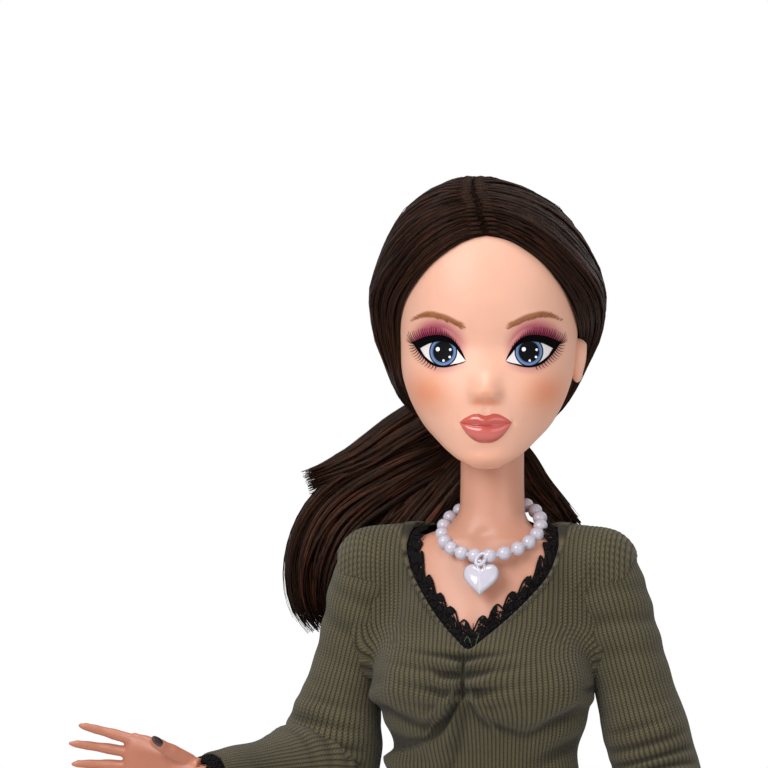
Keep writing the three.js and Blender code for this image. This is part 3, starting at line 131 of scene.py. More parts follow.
GLINTS = [(-8.4, 262.61, 0.36), (-6.2, 262.53, 0.22), (-6.29, 261.29, 0.21), (-7.37, 260.7, 0.2)]
FACE_WIDE = 0.955
LIP_HALF = 4.55
LIP_TOP = [(0, 251.5), (0.6, 251.62), (1.35, 251.85), (2.2, 251.75), (3.1, 251.4), (3.9, 250.95),
           (4.55, 250.4)]
LIP_SEAM = [(0, 249.95), (1.3, 249.95), (2.4, 250.02), (3.5, 250.2), (4.55, 250.4)]
LIP_LOW = [(0, 247.05), (1.2, 247.15), (2.25, 247.65), (3.2, 248.45), (3.95, 249.4), (4.55, 250.4)]
# Down the nose: height, how far it stands out, half width
NOSE_ROWS = [
    (252.6, 0, 2.3), (253.3, 0.22, 2.3), (254.0, 1.15, 2.25), (254.7, 2.15, 2.2), (255.5, 2.7, 2.2),
    (256.4, 2.55, 2.25), (257.4, 1.85, 2.3), (258.7, 0.9, 2.6), (260.5, 0.42, 3.4), (262.8, 0.3, 3.6),
    (265.6, 0.3, 3.2), (268.6, 0.15, 3.5), (272, 0, 3.6),
]

TRUNK_LOW, TRUNK_TALL = 159.2, 87.8
HIP_HALF, BUST_DEEP, SEAT_DEEP = 19.2, 13.0, 12.0
TRUNK_SQUARE = 2.25
TRUNK_ROWS = [
    (0, 0.99, 0.71, 0.96), (0.08, 1, 0.74, 1), (0.18, 0.92, 0.72, 0.87), (0.35, 0.745, 0.645, 0.6),
    (0.42, 0.765, 0.69, 0.6), (0.475, 0.835, 0.82, 0.63), (0.53, 0.915, 1, 0.68), (0.59, 0.87, 0.97, 0.72),
    (0.655, 0.8, 0.79, 0.74), (0.715, 0.765, 0.65, 0.72), (0.76, 0.78, 0.55, 0.69),
    (0.794, 0.735, 0.475, 0.65), (0.817, 0.6, 0.415, 0.62), (0.834, 0.4, 0.385, 0.585),
    (0.854, 0.31, 0.355, 0.55), (0.872, 0.286, 0.345, 0.54), (0.9, 0.28, 0.34, 0.53),
    (1, 0.276, 0.331, 0.525),
]
SKIN_GAP, KNIT = 0.35, 0.9
HEM_Z = 178.0
NECKLINE_HALF, NECKLINE_DEEP, NECKLINE_TOP = 13.6, 18.2, 230.2
# Down the neckline's V: share of its depth, share of its half width
NECKLINE_ROWS = [(0, 1), (0.15, 0.95), (0.31, 0.88), (0.46, 0.74), (0.61, 0.57), (0.77, 0.36), (0.92, 0.13),
                 (1, 0)]
BACK_DEEP, BACK_LOW = 8.4, 226.1
LACE_WIDE, CUFF_SCALLOPS = 2.9, 9
SLEEVE_WIDE, DOME, YOKE = 6.6, 6.0, 6.2
# Down the armhole's seam: height, then how far out it lies
ARMHOLE_ROWS = [(204, 18.9), (205.5, 19.4), (208.3, 20.8), (216.3, 22.3), (220.5, 23.4), (226.9, 25.2),
                (233, 27), (240, 27)]
# Under the bust and along the overlapping layer: places across and up as the camera sees them
CREASE_ROWS = [(-19, 204.5), (-13.5, 200.5), (-9.5, 199.4), (-6.7, 201.1), (-4.7, 204.3), (-3.7, 204.3),
               (-1.5, 201.1),
               (2.5, 199.4), (6.4, 198.3), (10.6, 200.5), (16.2, 203.5), (19, 205)]
OVERLAP_ROWS = [(-19, 193.6), (-16.7, 194.3), (-14.7, 195.1), (-10.5, 196.8), (-6.8, 199.4), (-4.85, 203.3),
                (-3, 205)]
GATHER = (-4.2, 204.2, 211.4)  # across, then from and to in height
SLEEVE_END = 0.86
SLEEVE_ROWS = [(0, 1), (0.48, 1.02), (0.66, 1), (0.8, 0.84), (1, 0.57)]
ELBOW_ROWS = [(0, 0), (0.36, 0), (0.46, 0.24), (0.62, 0.26), (0.74, 0), (1, 0)]
HAND_LIFT = {"right": (13, 0.9), "left": (0, 0)}
ARM_POSES = {  # degrees: swing, raise, twist, bend, wrist
    "right": (-2.4, 13.4, 29, 81, 50),
    "left": (3, 15, 0, 16, 0),
}
UPPER_ARM, FOREARM, HAND_LONG, PALM_HALF = 35.0, 33.0, 23.0, 4.2


# Numbers and places

def along(rows, at):
    """Smooth values of a table at one or more places. A row is its place, then its values."""
    table = np.array(rows, float)
    x, y = table[:, 0], table[:, 1:]
    gaps = np.diff(x)[:, None]
    slopes = np.diff(y, axis=0) / gaps
    lean = np.vstack([slopes[:1], (gaps[:-1] * slopes[1:] + gaps[1:] * slopes[:-1]) / (gaps[:-1] + gaps[1:]),
                      slopes[-1:]])
    at = np.clip(np.asarray(at, float), x[0], x[-1])
    i = np.clip(np.searchsorted(x, at) - 1, 0, len(x) - 2)
    h = gaps[i, 0]
    t = ((at - x[i]) / h)[..., None]
    h = h[..., None]
    made = ((1 + 2 * t) * (1 - t) ** 2 * y[i] + t * (1 - t) ** 2 * h * lean[i]
            + t * t * (3 - 2 * t) * y[i + 1] + t * t * (t - 1) * h * lean[i + 1])
    return made[..., 0] if made.shape[-1] == 1 else made


def ease(value, low=0.0, high=1.0):
    t = np.clip((np.asarray(value, float) - low) / (high - low), 0, 1)
    return t * t * (3 - 2 * t)


def fall(value, low=0.0, high=1.0):
    return 1 - ease(value, low, high)


def bell(value, at, wide):
    return np.exp(-((value - at) / wide) ** 2)


def hill(x, z, at_x, at_z, wide, tall):
    return np.exp(-((x - at_x) / wide) ** 2 - ((z - at_z) / tall) ** 2)


def pair(x, z, at_x, at_z, wide, tall):
    return hill(x, z, at_x, at_z, wide, tall) + hill(x, z, -at_x, at_z, wide, tall)


def ripple(value, seed, waves=(1, 2.3, 4.1, 7.7)):
    """A smooth wander between about -1 and 1, the same each run."""
    phases = np.random.default_rng(seed).uniform(0, TURN, len(waves))
    return sum(np.sin(TURN * wave * value + phase) for wave, phase in zip(waves, phases)) / len(waves)


def unit(vectors):
    return vectors / np.maximum(np.linalg.norm(vectors, axis=-1, keepdims=True), 1e-9)


def from_head(points):
    """Points in the head's own frame, which looks along -Y, as places in the doll's frame."""
    c, s = math.cos(HEAD_TURN), math.sin(HEAD_TURN)
    x, y, z = points[..., 0], points[..., 1] - NECK_Y, points[..., 2]
    return np.stack([c * x - s * y, s * x + c * y + NECK_Y, z], axis=-1)


def metres(points):
    return (np.asarray(points, float) + AXIS) * MM


def joint_place(name):
    """A joint's place in mm in the doll's frame."""
    return np.array(JOINTS[name]["pos_m"]) / MM - AXIS


def walked(points):
    """How far along a path each of its points is."""
    return np.concatenate([[0], np.cumsum(np.linalg.norm(np.diff(points, axis=0), axis=1))])


def spline(points, steps):
    """A smooth path through points, with evenly spaced steps."""
    points = np.array(points, float)
    spans = np.concatenate([[0], np.cumsum(np.linalg.norm(np.diff(points, axis=0), axis=1) ** 0.5)])
    fine = along(np.column_stack([spans, points]), np.linspace(0, spans[-1], steps * 8))
    run = walked(fine)
    return np.stack([np.interp(np.linspace(0, run[-1], steps), run, fine[:, k]) for k in range(3)], axis=-1)


def bow(value, square):
    return np.sign(value) * np.abs(value) ** (2 / square)


def oval(half, front, back, angle, square):
    across = half * bow(np.cos(angle), square)
    return across, (back - front) / 2 + (back + front) / 2 * bow(np.sin(angle), square)


# Meshes

def only(obj):
    bpy.ops.object.select_all(action="DESELECT")
    obj.select_set(True)
    bpy.context.view_layer.objects.active = obj


def in_edit_mode(obj, work, **settings):
    """Runs one mesh operator on all of a piece."""
    only(obj)
    bpy.ops.object.mode_set(mode="EDIT")
    bpy.ops.mesh.select_all(action="SELECT")
    work(**settings)
    bpy.ops.object.mode_set(mode="OBJECT")


def shade_smoothly(obj):
    only(obj)
    bpy.ops.object.shade_smooth()


def table_of(items, key, columns=3):
    """One value of each vertex or face of a mesh, as an array."""
    flat = np.empty(len(items) * columns)
    items.foreach_get(key, flat)
    return flat.reshape(-1, 3) if columns == 3 else flat


def place_vertices(mesh, points):
    mesh.vertices.foreach_set("co", metres(points).astype(np.float32).ravel())
    mesh.update()


def turn_outwards(obj, centre=None):
    """Turns the faces away from the centre, where most of them face it."""
    faces = obj.data.polygons
    normals, centres, areas = table_of(faces, "normal"), table_of(faces, "center"), table_of(faces, "area", 1)
    middle = centres.mean(axis=0) if centre is None else metres(centre)
    if np.sum(np.sum((centres - middle) * normals, axis=1) * areas) < 0:
        in_edit_mode(obj, bpy.ops.mesh.flip_normals)


def modify(obj, kind, **settings):
    """Adds a modifier and applies it."""
    only(obj)
    modifier = obj.modifiers.new(kind.title(), kind)
    for key, value in settings.items():
        setattr(modifier, key, value)
    bpy.ops.object.modifier_apply(modifier=modifier.name)


def set_attribute(mesh, name, values):
    values = np.asarray(values, np.float32)
    kind, key = ("FLOAT_VECTOR", "vector") if values.ndim > 1 else ("FLOAT", "value")
    mesh.attributes.new(name, kind, "POINT").data.foreach_set(key, values.ravel())


def grid_piece(name, points, marks=None, uv=(1, 1), centre=None, smooth=True, places=None):
    """A grid laid over a table of places in mm, rows by columns. Its seam and poles are merged."""
    rows, columns = points.shape[:2]
    bpy.ops.object.select_all(action="DESELECT")
    bpy.ops.mesh.primitive_grid_add(x_subdivisions=columns - 1, y_subdivisions=rows - 1, size=1)
    obj = bpy.context.object
    obj.name = obj.data.name = name
    mesh = obj.data
    if len(mesh.vertices) != rows * columns:
        raise RuntimeError(f"{name}: the grid has {len(mesh.vertices)} points, not {rows * columns}")
    flat = table_of(mesh.vertices, "co")
    column = np.rint((flat[:, 0] + 0.5) * (columns - 1)).astype(int)
    row = np.rint((flat[:, 1] + 0.5) * (rows - 1)).astype(int)
    place_vertices(mesh, points[row, column])
    for mark, values in (marks or {}).items():
        set_attribute(mesh, mark, values[row, column])
    layer = mesh.uv_layers.active.data
    if places is not None:
        corner = np.empty(len(layer), int)
        mesh.loops.foreach_get("vertex_index", corner)
        layer.foreach_set("uv", places[row, column][corner].astype(np.float32).ravel())
    elif uv != (1, 1):
        plain = np.empty(len(layer) * 2)
        layer.foreach_get("uv", plain)
        layer.foreach_set("uv", (plain.reshape(-1, 2) * np.array(uv)).astype(np.float32).ravel())
    mesh.update()
    in_edit_mode(obj, bpy.ops.mesh.remove_doubles, threshold=SEAM)
    turn_outwards(obj, centre)
    if smooth:
        shade_smoothly(obj)
    return obj


def strand_piece(name, paths, radii, sides=6, flat=1.0, facing=None, marks=None):
    """Many strands as closed tubes. Paths are strands by steps by 3, radii strands by steps, in mm."""
    paths, radii = np.asarray(paths, float), np.asarray(radii, float)
    count, steps = radii.shape
    ahead = unit(np.gradient(paths, axis=1))
    if facing is None:
        start = np.where(np.abs(ahead[:, :1, 2:]) > 0.8, [0.0, 1.0, 0.0], [0.0, 0.0, 1.0])
        facing = np.empty_like(paths)
        last = start[:, 0]
        for i in range(steps):
            last = unit(last - np.sum(last * ahead[:, i], axis=-1, keepdims=True) * ahead[:, i])
            facing[:, i] = last
    else:
        facing = unit(facing - np.sum(facing * ahead, axis=-1, keepdims=True) * ahead)
    across = np.cross(ahead, facing)
    angle = TURN * np.arange(sides) / sides
    ring = (paths[:, :, None] + radii[:, :, None, None]
            * (flat * np.cos(angle)[:, None] * facing[:, :, None] + np.sin(angle)[:, None]
               * across[:, :, None]))
    index = np.arange(count * steps * sides).reshape(count, steps, sides)
    ahead_k = np.roll(index, -1, axis=2)
    quads = np.stack([index[:, :-1], ahead_k[:, :-1], ahead_k[:, 1:], index[:, 1:]], axis=-1).reshape(-1, 4)
    faces = quads.tolist() + index[:, 0, ::-1].tolist() + index[:, -1].tolist()
    mesh = bpy.data.meshes.new(name)
    mesh.from_pydata(metres(ring.reshape(-1, 3)).tolist(), [], faces)
    u = np.broadcast_to(np.arange(sides) / sides, index.shape)
    v = np.broadcast_to((np.arange(steps) / (steps - 1))[None, :, None], index.shape)
    corner_u = np.stack([u, u + 1 / sides, u + 1 / sides, u], axis=-1)[:, :-1]
    corner_v = np.stack([v[:, :-1], v[:, :-1], v[:, 1:], v[:, 1:]], axis=-1)
    corners = np.stack([corner_u, corner_v], axis=-1).reshape(-1, 2)
    corners = np.vstack([corners, np.zeros((len(mesh.loops) - len(corners), 2))])
    mesh.uv_layers.new(name="UVMap").data.foreach_set("uv", corners.astype(np.float32).ravel())
    strand = np.random.default_rng(len(name) + count).uniform(0, 1, count)
    round_share = np.abs(np.arange(sides) / sides - 0.5) * 2
    comb = np.stack([np.broadcast_to(round_share * 2.5, index.shape) + strand[:, None, None] * 90,
                     v, np.broadcast_to(strand[:, None, None], index.shape)], axis=-1)
    set_attribute(mesh, "comb", comb.reshape(-1, 3))
    for mark, values in (marks or {}).items():
        set_attribute(mesh, mark, np.broadcast_to(values[..., None], index.shape).ravel())
    mesh.update()
    obj = bpy.data.objects.new(name, mesh)
    bpy.context.scene.collection.objects.link(obj)
    turn = mesh.polygons[0].normal.dot(Vector(metres(ring[0, 0, 0]) - metres(paths[0, 0])))
    if turn < 0:
        in_edit_mode(obj, bpy.ops.mesh.flip_normals)
    shade_smoothly(obj)
    return obj


def ball_piece(name, radius, centre, segments=16, rings=10, shape=None):
    """A ball of a radius in mm at a place in mm, or its points as shape(points) moves them."""
    bpy.ops.object.select_all(action="DESELECT")
    bpy.ops.mesh.primitive_uv_sphere_add(segments=segments, ring_count=rings, radius=1)
    obj = bpy.context.object
    obj.name = obj.data.name = name
    local = table_of(obj.data.vertices, "co") * radius
    if shape:
        local = shape(local)
    place_vertices(obj.data, local + np.asarray(centre, float))
    turn_outwards(obj)
    shade_smoothly(obj)
    return obj


def join(name, objects):
    bpy.ops.object.select_all(action="DESELECT")
    for obj in objects:
        obj.select_set(True)
    bpy.context.view_layer.objects.active = objects[0]
    if len(objects) > 1:
        bpy.ops.object.join()
    objects[0].name = objects[0].data.name = name
    return objects[0]


def wear(obj, finish, body=None, replaces=()):
    """Gives a piece its material, the body that it rides on and the nodes that it stands for."""
    obj.data.materials.clear()
    obj.data.materials.append(finish)
    if body:
        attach(obj, body)
    if replaces:
        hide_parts(*replaces)
    return obj


# Materials

def ink(red, green, blue):
    """A colour in 0 to 255 as the shader's linear numbers."""
    share = np.array([red, green, blue]) / 255
    return (*np.where(share <= 0.04045, share / 12.92, ((share + 0.055) / 1.055) ** 2.4).tolist(), 1.0)


def put(tree, socket, value):
    if isinstance(value, bpy.types.NodeSocket):
        tree.links.new(value, socket)
    else:
        socket.default_value = value


def add(tree, kind, settings=None, **inputs):
    made = tree.nodes.new(kind)
    for key, value in (settings or {}).items():
        setattr(made, key, value)
    for key, value in inputs.items():
        put(tree, made.inputs[key.replace("_", " ")], value)
    return made


def calc(tree, operation, *values):
    node = tree.nodes.new("ShaderNodeMath")
    node.operation = operation
    for socket, value in zip(node.inputs, values):
        put(tree, socket, value)
    return node.outputs[0]


def mixed(tree, factor, first, second, mode="MIX"):
    node = tree.nodes.new("ShaderNodeMix")
    node.data_type, node.blend_type = "RGBA", mode
    for place, value in ((0, factor), (6, first), (7, second)):
        put(tree, node.inputs[place], value)
    return node.outputs[2]


def noise(tree, vector, scale, detail=3.0, rough=0.5):
    return add(tree, "ShaderNodeTexNoise", None, Vector=vector, Scale=scale, Detail=detail,
               Roughness=rough).outputs["Fac"]


def ramp(tree, factor, stops):
    node = tree.nodes.new("ShaderNodeValToRGB")
    put(tree, node.inputs[0], factor)
    edges = node.color_ramp.elements
    while len(edges) < len(stops):
        edges.new(0.5)
    for edge, (place, colour) in zip(edges, stops):
        edge.position, edge.color = place, colour
    return node.outputs[0]


def new_material(name):
    material = bpy.data.materials.new(name)
    material.use_nodes = True
    return material, material.node_tree, material.node_tree.nodes["Principled BSDF"]


def mark_of(tree, name, output="Fac"):
    """What one of the piece's own marks holds, such as its comb or its mask of painted crease shade."""
    return add(tree, "ShaderNodeAttribute", {"attribute_name": name}).outputs[output]


def bumped(tree, shader, height, strength, depth):
    bump = add(tree, "ShaderNodeBump", None, Height=height, Strength=strength, Distance=depth)
    put(tree, shader.inputs["Normal"], bump.outputs[0])


def grain_group():
    """Fine moulded grain, slow mottling and faint rub marks, shared by the hard finishes."""
    group = bpy.data.node_groups.get("moulded_grain")
    if group:
        return group
    group = bpy.data.node_groups.new("moulded_grain", "ShaderNodeTree")
    for name, kind, way in (("Scale", "NodeSocketFloat", "INPUT"), ("Height", "NodeSocketFloat", "OUTPUT"),
                            ("Mottle", "NodeSocketFloat", "OUTPUT"), ("Rub", "NodeSocketFloat", "OUTPUT")):
        group.interface.new_socket(name=name, in_out=way, socket_type=kind)
    source, sink = group.nodes.new("NodeGroupInput"), group.nodes.new("NodeGroupOutput")
    place = group.nodes.new("ShaderNodeTexCoord").outputs["Object"]
    scale = source.outputs["Scale"]
    fine = noise(group, place, scale, 2.0)
    slow = noise(group, place, calc(group, "MULTIPLY", scale, 0.06), 3.0)
    rub = noise(group, place, calc(group, "MULTIPLY", scale, 0.3), 4.0, 0.7)
    for name, value in (("Height", fine), ("Mottle", slow), ("Rub", calc(group, "GREATER_THAN", rub, 0.62))):
        group.links.new(value, sink.inputs[name])
    return group


def finish_of(name, colour, rough=0.45, grain=6000.0, depth=0.00002, spread=0.08, coat=0.0, metal=0.0,
              **sockets):
    """A material with grain and mottling round one colour."""
    material, tree, shader = new_material(name)
    group = tree.nodes.new("ShaderNodeGroup")
    group.node_tree = grain_group()
    group.inputs["Scale"].default_value = grain
    dark = tuple(value * (1 - 2 * spread) for value in colour[:3]) + (1.0,)
    light = tuple(min(1.0, value * (1 + spread)) for value in colour[:3]) + (1.0,)
    base = mixed(tree, group.outputs["Mottle"], dark, light)
    put(tree, shader.inputs["Base Color"], base)
    put(tree, shader.inputs["Roughness"],
        calc(tree, "MULTIPLY_ADD", group.outputs["Mottle"], 0.12, rough - 0.06))
    bumped(tree, shader, group.outputs["Height"], 0.6, depth)
    shader.inputs["Metallic"].default_value = metal
    shader.inputs["Coat Weight"].default_value = coat
    for key, value in sockets.items():
        shader.inputs[key.replace("_", " ")].default_value = value
    return material, tree, shader, base


def skin_finish(name, colour, rough, paint=None):
    """Moulded skin. With paint, the piece's marks lay blush, eye shadow and brow colour over it; the blush
    colour also lays painted shade under the nose.
    """
    material, tree, shader, base = finish_of(name, colour, rough, 4200.0, 0.000012, 0.03)
    if paint:
        mark = mark_of(tree, "paint", "Vector")
        parts = add(tree, "ShaderNodeSeparateXYZ", None, Vector=mark).outputs
        for part, tint in zip(parts, paint):
            base = mixed(tree, part, base, tint)
        put(tree, shader.inputs["Base Color"], base)
    shader.inputs["Subsurface Weight"].default_value = 0.12
    shader.inputs["Subsurface Radius"].default_value = (1.0, 0.4, 0.25)
    shader.inputs["Subsurface Scale"].default_value = 0.0012
    return material


def hair_finish(name, deep, warm):
    """Combed fibre: each strand has its own shade, with fine lines that run along it."""
    material, tree, shader = new_material(name)
    comb = mark_of(tree, "comb", "Vector")
    parts = add(tree, "ShaderNodeSeparateXYZ", None, Vector=comb).outputs
    line = add(tree, "ShaderNodeCombineXYZ", None, X=parts[0], Y=calc(tree, "MULTIPLY", parts[1], 2.5),
               Z=calc(tree, "MULTIPLY", parts[2], 40.0)).outputs[0]
    fine = noise(tree, line, 3.2, 3.0, 0.6)
    slow = noise(tree, line, 0.35, 2.0)
    streak = calc(tree, "MULTIPLY", ramp(tree, fine, [(0.5, ink(0, 0, 0)), (0.72, ink(255, 255, 255))]),
                  ramp(tree, slow, [(0.3, ink(50, 50, 50)), (0.65, ink(255, 255, 255))]))
    put(tree, shader.inputs["Base Color"], mixed(tree, streak, deep, warm))
    put(tree, shader.inputs["Roughness"], calc(tree, "MULTIPLY_ADD", fine, 0.22, 0.26))
    bumped(tree, shader, fine, 0.9, 0.00022)
    shader.inputs["Specular IOR Level"].default_value = 0.27
    shader.inputs["Specular Tint"].default_value = (1.0, 0.62, 0.46, 1.0)
    return material


def knit_finish(name, light, dark):
    """Rib knit: one unit of the UV map's width is a rib, one of its height a course of stitches."""
    material, tree, shader = new_material(name)
    place = tree.nodes.new("ShaderNodeTexCoord").outputs
    across, up, _ = add(tree, "ShaderNodeSeparateXYZ", None, Vector=place["UV"]).outputs
    rib = calc(tree, "ABSOLUTE", calc(tree, "SUBTRACT", calc(tree, "FRACT", across), 0.5))
    stitch = calc(tree, "MULTIPLY_ADD", rib, 1.6, up)
    loop = calc(tree, "MULTIPLY_ADD", calc(tree, "SINE", calc(tree, "MULTIPLY", stitch, TURN)), 0.5, 0.5)
    crown = calc(tree, "SUBTRACT", 1.0, calc(tree, "POWER", calc(tree, "MULTIPLY", rib, 2.0), 2.2))
    fuzz = noise(tree, place["Object"], 9000.0, 2.0)
    blotch = noise(tree, place["Object"], 160.0, 3.0)
    height = calc(tree, "MULTIPLY_ADD", loop, 0.55, calc(tree, "MULTIPLY_ADD", fuzz, 0.5, crown))
    # Painted shade: the colour runs towards the dark colour in the valley between ribs and between the
    # stitches' loops
    shade = calc(tree, "MULTIPLY", calc(tree, "MULTIPLY_ADD", crown, 0.85, 0.15),
                 calc(tree, "MULTIPLY_ADD", loop, 0.5, 0.58))
    shade = calc(tree, "MULTIPLY", shade, calc(tree, "MULTIPLY_ADD", blotch, 0.5, 0.8))
    # Painted shade: the crease mask darkens the knit where the folds sink in
    crease_shade = mark_of(tree, "crease_shade")
    shade = calc(tree, "MULTIPLY", shade, calc(tree, "MULTIPLY_ADD", crease_shade, -0.6, 1.0))
    put(tree, shader.inputs["Base Color"], mixed(tree, shade, dark, light))
    put(tree, shader.inputs["Roughness"], calc(tree, "MULTIPLY_ADD", fuzz, 0.15, 0.8))
    bumped(tree, shader, height, 0.9, 0.00018)
    shader.inputs["Sheen Weight"].default_value = 0.1
    shader.inputs["Specular IOR Level"].default_value = 0.25
    return material


def twill_finish(name, colour):
    """Fine diagonal weave on the UV map, where one unit is one thread."""
    material, tree, shader = new_material(name)
    place = tree.nodes.new("ShaderNodeTexCoord").outputs
    across, up, _ = add(tree, "ShaderNodeSeparateXYZ", None, Vector=place["UV"]).outputs
    wave = calc(tree, "SINE", calc(tree, "MULTIPLY", calc(tree, "ADD", across, up), TURN))
    fuzz = noise(tree, place["Object"], 7000.0, 2.0)
    blotch = noise(tree, place["Object"], 120.0, 3.0)
    shade = calc(tree, "MULTIPLY_ADD", wave, 0.2,
                 calc(tree, "MULTIPLY", calc(tree, "ADD", fuzz, blotch), 0.5))
    light = tuple(value * 2.2 for value in colour[:3]) + (1.0,)
    put(tree, shader.inputs["Base Color"], mixed(tree, shade, colour, light))
    put(tree, shader.inputs["Roughness"], calc(tree, "MULTIPLY_ADD", fuzz, 0.2, 0.68))
    bumped(tree, shader, calc(tree, "ADD", wave, fuzz), 0.5, 0.00005)
    shader.inputs["Sheen Weight"].default_value = 0.2
    return material


def marked_finish(name, mark, stops, rough, coat=0.0):
    """Paint whose colour follows one of the piece's marks."""
    material, tree, shader = new_material(name)
    value = mark_of(tree, mark)
    place = tree.nodes.new("ShaderNodeTexCoord").outputs["Object"]
    brushed = noise(tree, place, 2600.0, 3.0)
    base = mixed(tree, calc(tree, "MULTIPLY", brushed, 0.12), ramp(tree, value, stops), ink(255, 255, 255),
                 "SOFT_LIGHT")
    put(tree, shader.inputs["Base Color"], base)
    put(tree, shader.inputs["Roughness"], calc(tree, "MULTIPLY_ADD", brushed, 0.1, rough - 0.05))
    bumped(tree, shader, brushed, 0.3, 0.00003)
    shader.inputs["Coat Weight"].default_value = coat
    shader.inputs["Specular IOR Level"].default_value = 0.5 if coat else 0.12
    return material


FINISHES = {}


def make_finishes(look):
    """Every material, made once from the panel's colours."""
    if FINISHES:
        return
    rgba = {key: (*getattr(look, key), 1.0) for key in
            ("skin", "blush", "eye_shadow", "brow", "lip", "iris", "hair", "hair_streak", "knit", "twill",
             "pearl", "nail")}
    black = ink(16, 12, 15)
    FINISHES.update(
        face=skin_finish("painted_vinyl_skin", rgba["skin"], 0.46,
                         (rgba["blush"], rgba["eye_shadow"], rgba["brow"])),
        vinyl=skin_finish("vinyl_skin", rgba["skin"], 0.46),
        body=skin_finish("hard_body_skin", ink(211, 152, 127), 0.4),
        # The hands take a darker copy of the skin, painted shade for the shade that falls on them
        hand=skin_finish("hand_skin", ink(184, 117, 92), 0.4),
        # The lips' colour runs darkest along the mouth's seam, painted shade in the crease between the lips
        lips=marked_finish("lip_gloss", "lip", [
            (0.0, ink(190, 88, 78)), (0.3, rgba["lip"]), (0.44, ink(192, 74, 66)), (0.5, ink(172, 54, 48)),
            (0.56, ink(182, 64, 56)), (0.75, ink(198, 84, 72)), (1.0, ink(188, 84, 72))], 0.24, 0.6),
        iris=marked_finish("iris_paint", "ring", [
            (0.0, ink(2, 2, 5)), (0.69, ink(2, 2, 5)), (0.74, rgba["iris"]), (0.88, ink(108, 137, 180)),
            (0.93, ink(26, 28, 52)), (1.0, ink(8, 7, 16))], 0.6),
        eye_white=finish_of("eye_white", ink(226, 220, 220), 0.5, 5000.0, 0.000004, 0.02)[0],
        glint=finish_of("eye_glint", ink(250, 250, 252), 0.5, 5000.0, 0.000002, 0.01)[0],
        liner=finish_of("eye_liner", ink(4, 2, 4), 0.7, 5000.0, 0.000004, 0.1, Specular_IOR_Level=0.05)[0],
        brow_line=finish_of("brow_strokes", rgba["brow"], 0.5, 5000.0, 0.000004, 0.12)[0],
        hair=hair_finish("hair_fibre", rgba["hair"], rgba["hair_streak"]),
        # The knit's dark colour is its painted shade, in rib valleys and in the folds' creases
        knit=knit_finish("rib_knit", rgba["knit"], ink(16, 14, 9)),
        lace=finish_of("lace_thread", black, 0.8, 9000.0, 0.00003, 0.25, Specular_IOR_Level=0.15)[0],
        green=finish_of("green_thread", ink(70, 108, 66), 0.7, 9000.0, 0.00002, 0.2)[0],
        stitch=finish_of("seam_thread", ink(78, 72, 56), 0.75, 9000.0, 0.00002, 0.2)[0],
        twill=twill_finish("dark_twill", rgba["twill"]),
        leather=finish_of("boot_leather", ink(24, 20, 21), 0.4, 1800.0, 0.00006, 0.15, 0.15)[0],
        sole=finish_of("sole_rubber", ink(30, 27, 27), 0.62, 2600.0, 0.00005, 0.15)[0],
        pearl=finish_of("moulded_pearl", rgba["pearl"], 0.2, 1500.0, 0.00001, 0.05, 0.5)[0],
        nail=finish_of("nail_paint", rgba["nail"], 0.2, 4000.0, 0.000004, 0.08, 0.7)[0],
        steel=finish_of("pin_steel", ink(176, 178, 182), 0.32, 3000.0, 0.00001, 0.08, 0.0, 1.0)[0],
        twine=finish_of("hair_tie_band", ink(18, 13, 13), 0.5, 6000.0, 0.00004, 0.2)[0],
        floor=finish_of("pale_floor", ink(236, 235, 233), 0.7, 60.0, 0.00002, 0.01)[0],
    )


# Stage

def make_stage(look):
    scene = bpy.context.scene
    scene.view_settings.view_transform = "Standard"
    world = bpy.data.worlds.new("pale_room")
    scene.world = world
    world.use_nodes = True
    tree = world.node_tree
    tree.nodes.clear()
    path = tree.nodes.new("ShaderNodeLightPath").outputs
    seen = calc(tree, "MAXIMUM", path["Is Camera Ray"], path["Is Transmission Ray"])
    glow = add(tree, "ShaderNodeBackground", None, Color=(1, 1, 1, 1))
    put(tree, glow.inputs["Strength"], calc(tree, "MULTIPLY_ADD", seen, 1 - look.room_light, look.room_light))
    tree.links.new(glow.outputs[0], tree.nodes.new("ShaderNodeOutputWorld").inputs["Surface"])

    bpy.ops.object.select_all(action="DESELECT")
    bpy.ops.mesh.primitive_circle_add(vertices=96, radius=0.5, fill_type="NGON")
    floor = bpy.context.object
    floor.name = "floor"
    floor.data.materials.append(FINISHES["floor"])

    middle = Vector(metres((0, 0, 255)))
    for name, place, size, power in (
        ("key", (-0.32, -0.75, 0.36), 0.45, look.key_light),
        ("fill", (0.6, -0.6, 0.15), 0.6, look.key_light * 0.35),
        ("top", (-0.05, -0.15, 0.75), 0.3, look.key_light * 0.6),
        ("rim", (0.35, 0.6, 0.35), 0.5, look.key_light * 0.12),
    ):
        bpy.ops.object.light_add(type="AREA", location=middle + Vector(place))
        lamp = bpy.context.object
        lamp.name = lamp.data.name = "lamp_" + name
        lamp.data.size, lamp.data.energy = size, power
        lamp.rotation_euler = (-Vector(place)).to_track_quat("-Z", "Y").to_euler()

    turn, rise = math.radians(look.camera_turn), math.radians(look.camera_rise)
    right = Vector((math.cos(turn), math.sin(turn), 0))
    target = Vector(metres((0, 0, look.view_height / MM))) + right * look.view_shift
    back = Vector((math.sin(turn) * math.cos(rise), -math.cos(turn) * math.cos(rise), math.sin(rise)))
    bpy.ops.object.camera_add(location=target + back * look.camera_far)
    camera = bpy.context.object
    camera.name = "camera"
    camera.rotation_euler = (-back).to_track_quat("-Z", "Y").to_euler()
    camera.data.lens = camera.data.sensor_width * look.camera_far / look.view_width
    camera.data.clip_start = 0.01
    scene.camera = camera


# Head

def head_section(z):
    sizes = along(HEAD_ROWS, (np.asarray(z, float) - CHIN_Z) / HEAD_TALL)
    return sizes[..., 0] * HEAD_HALF, sizes[..., 1] * FACE_DEEP, sizes[..., 2] * SKULL_DEEP


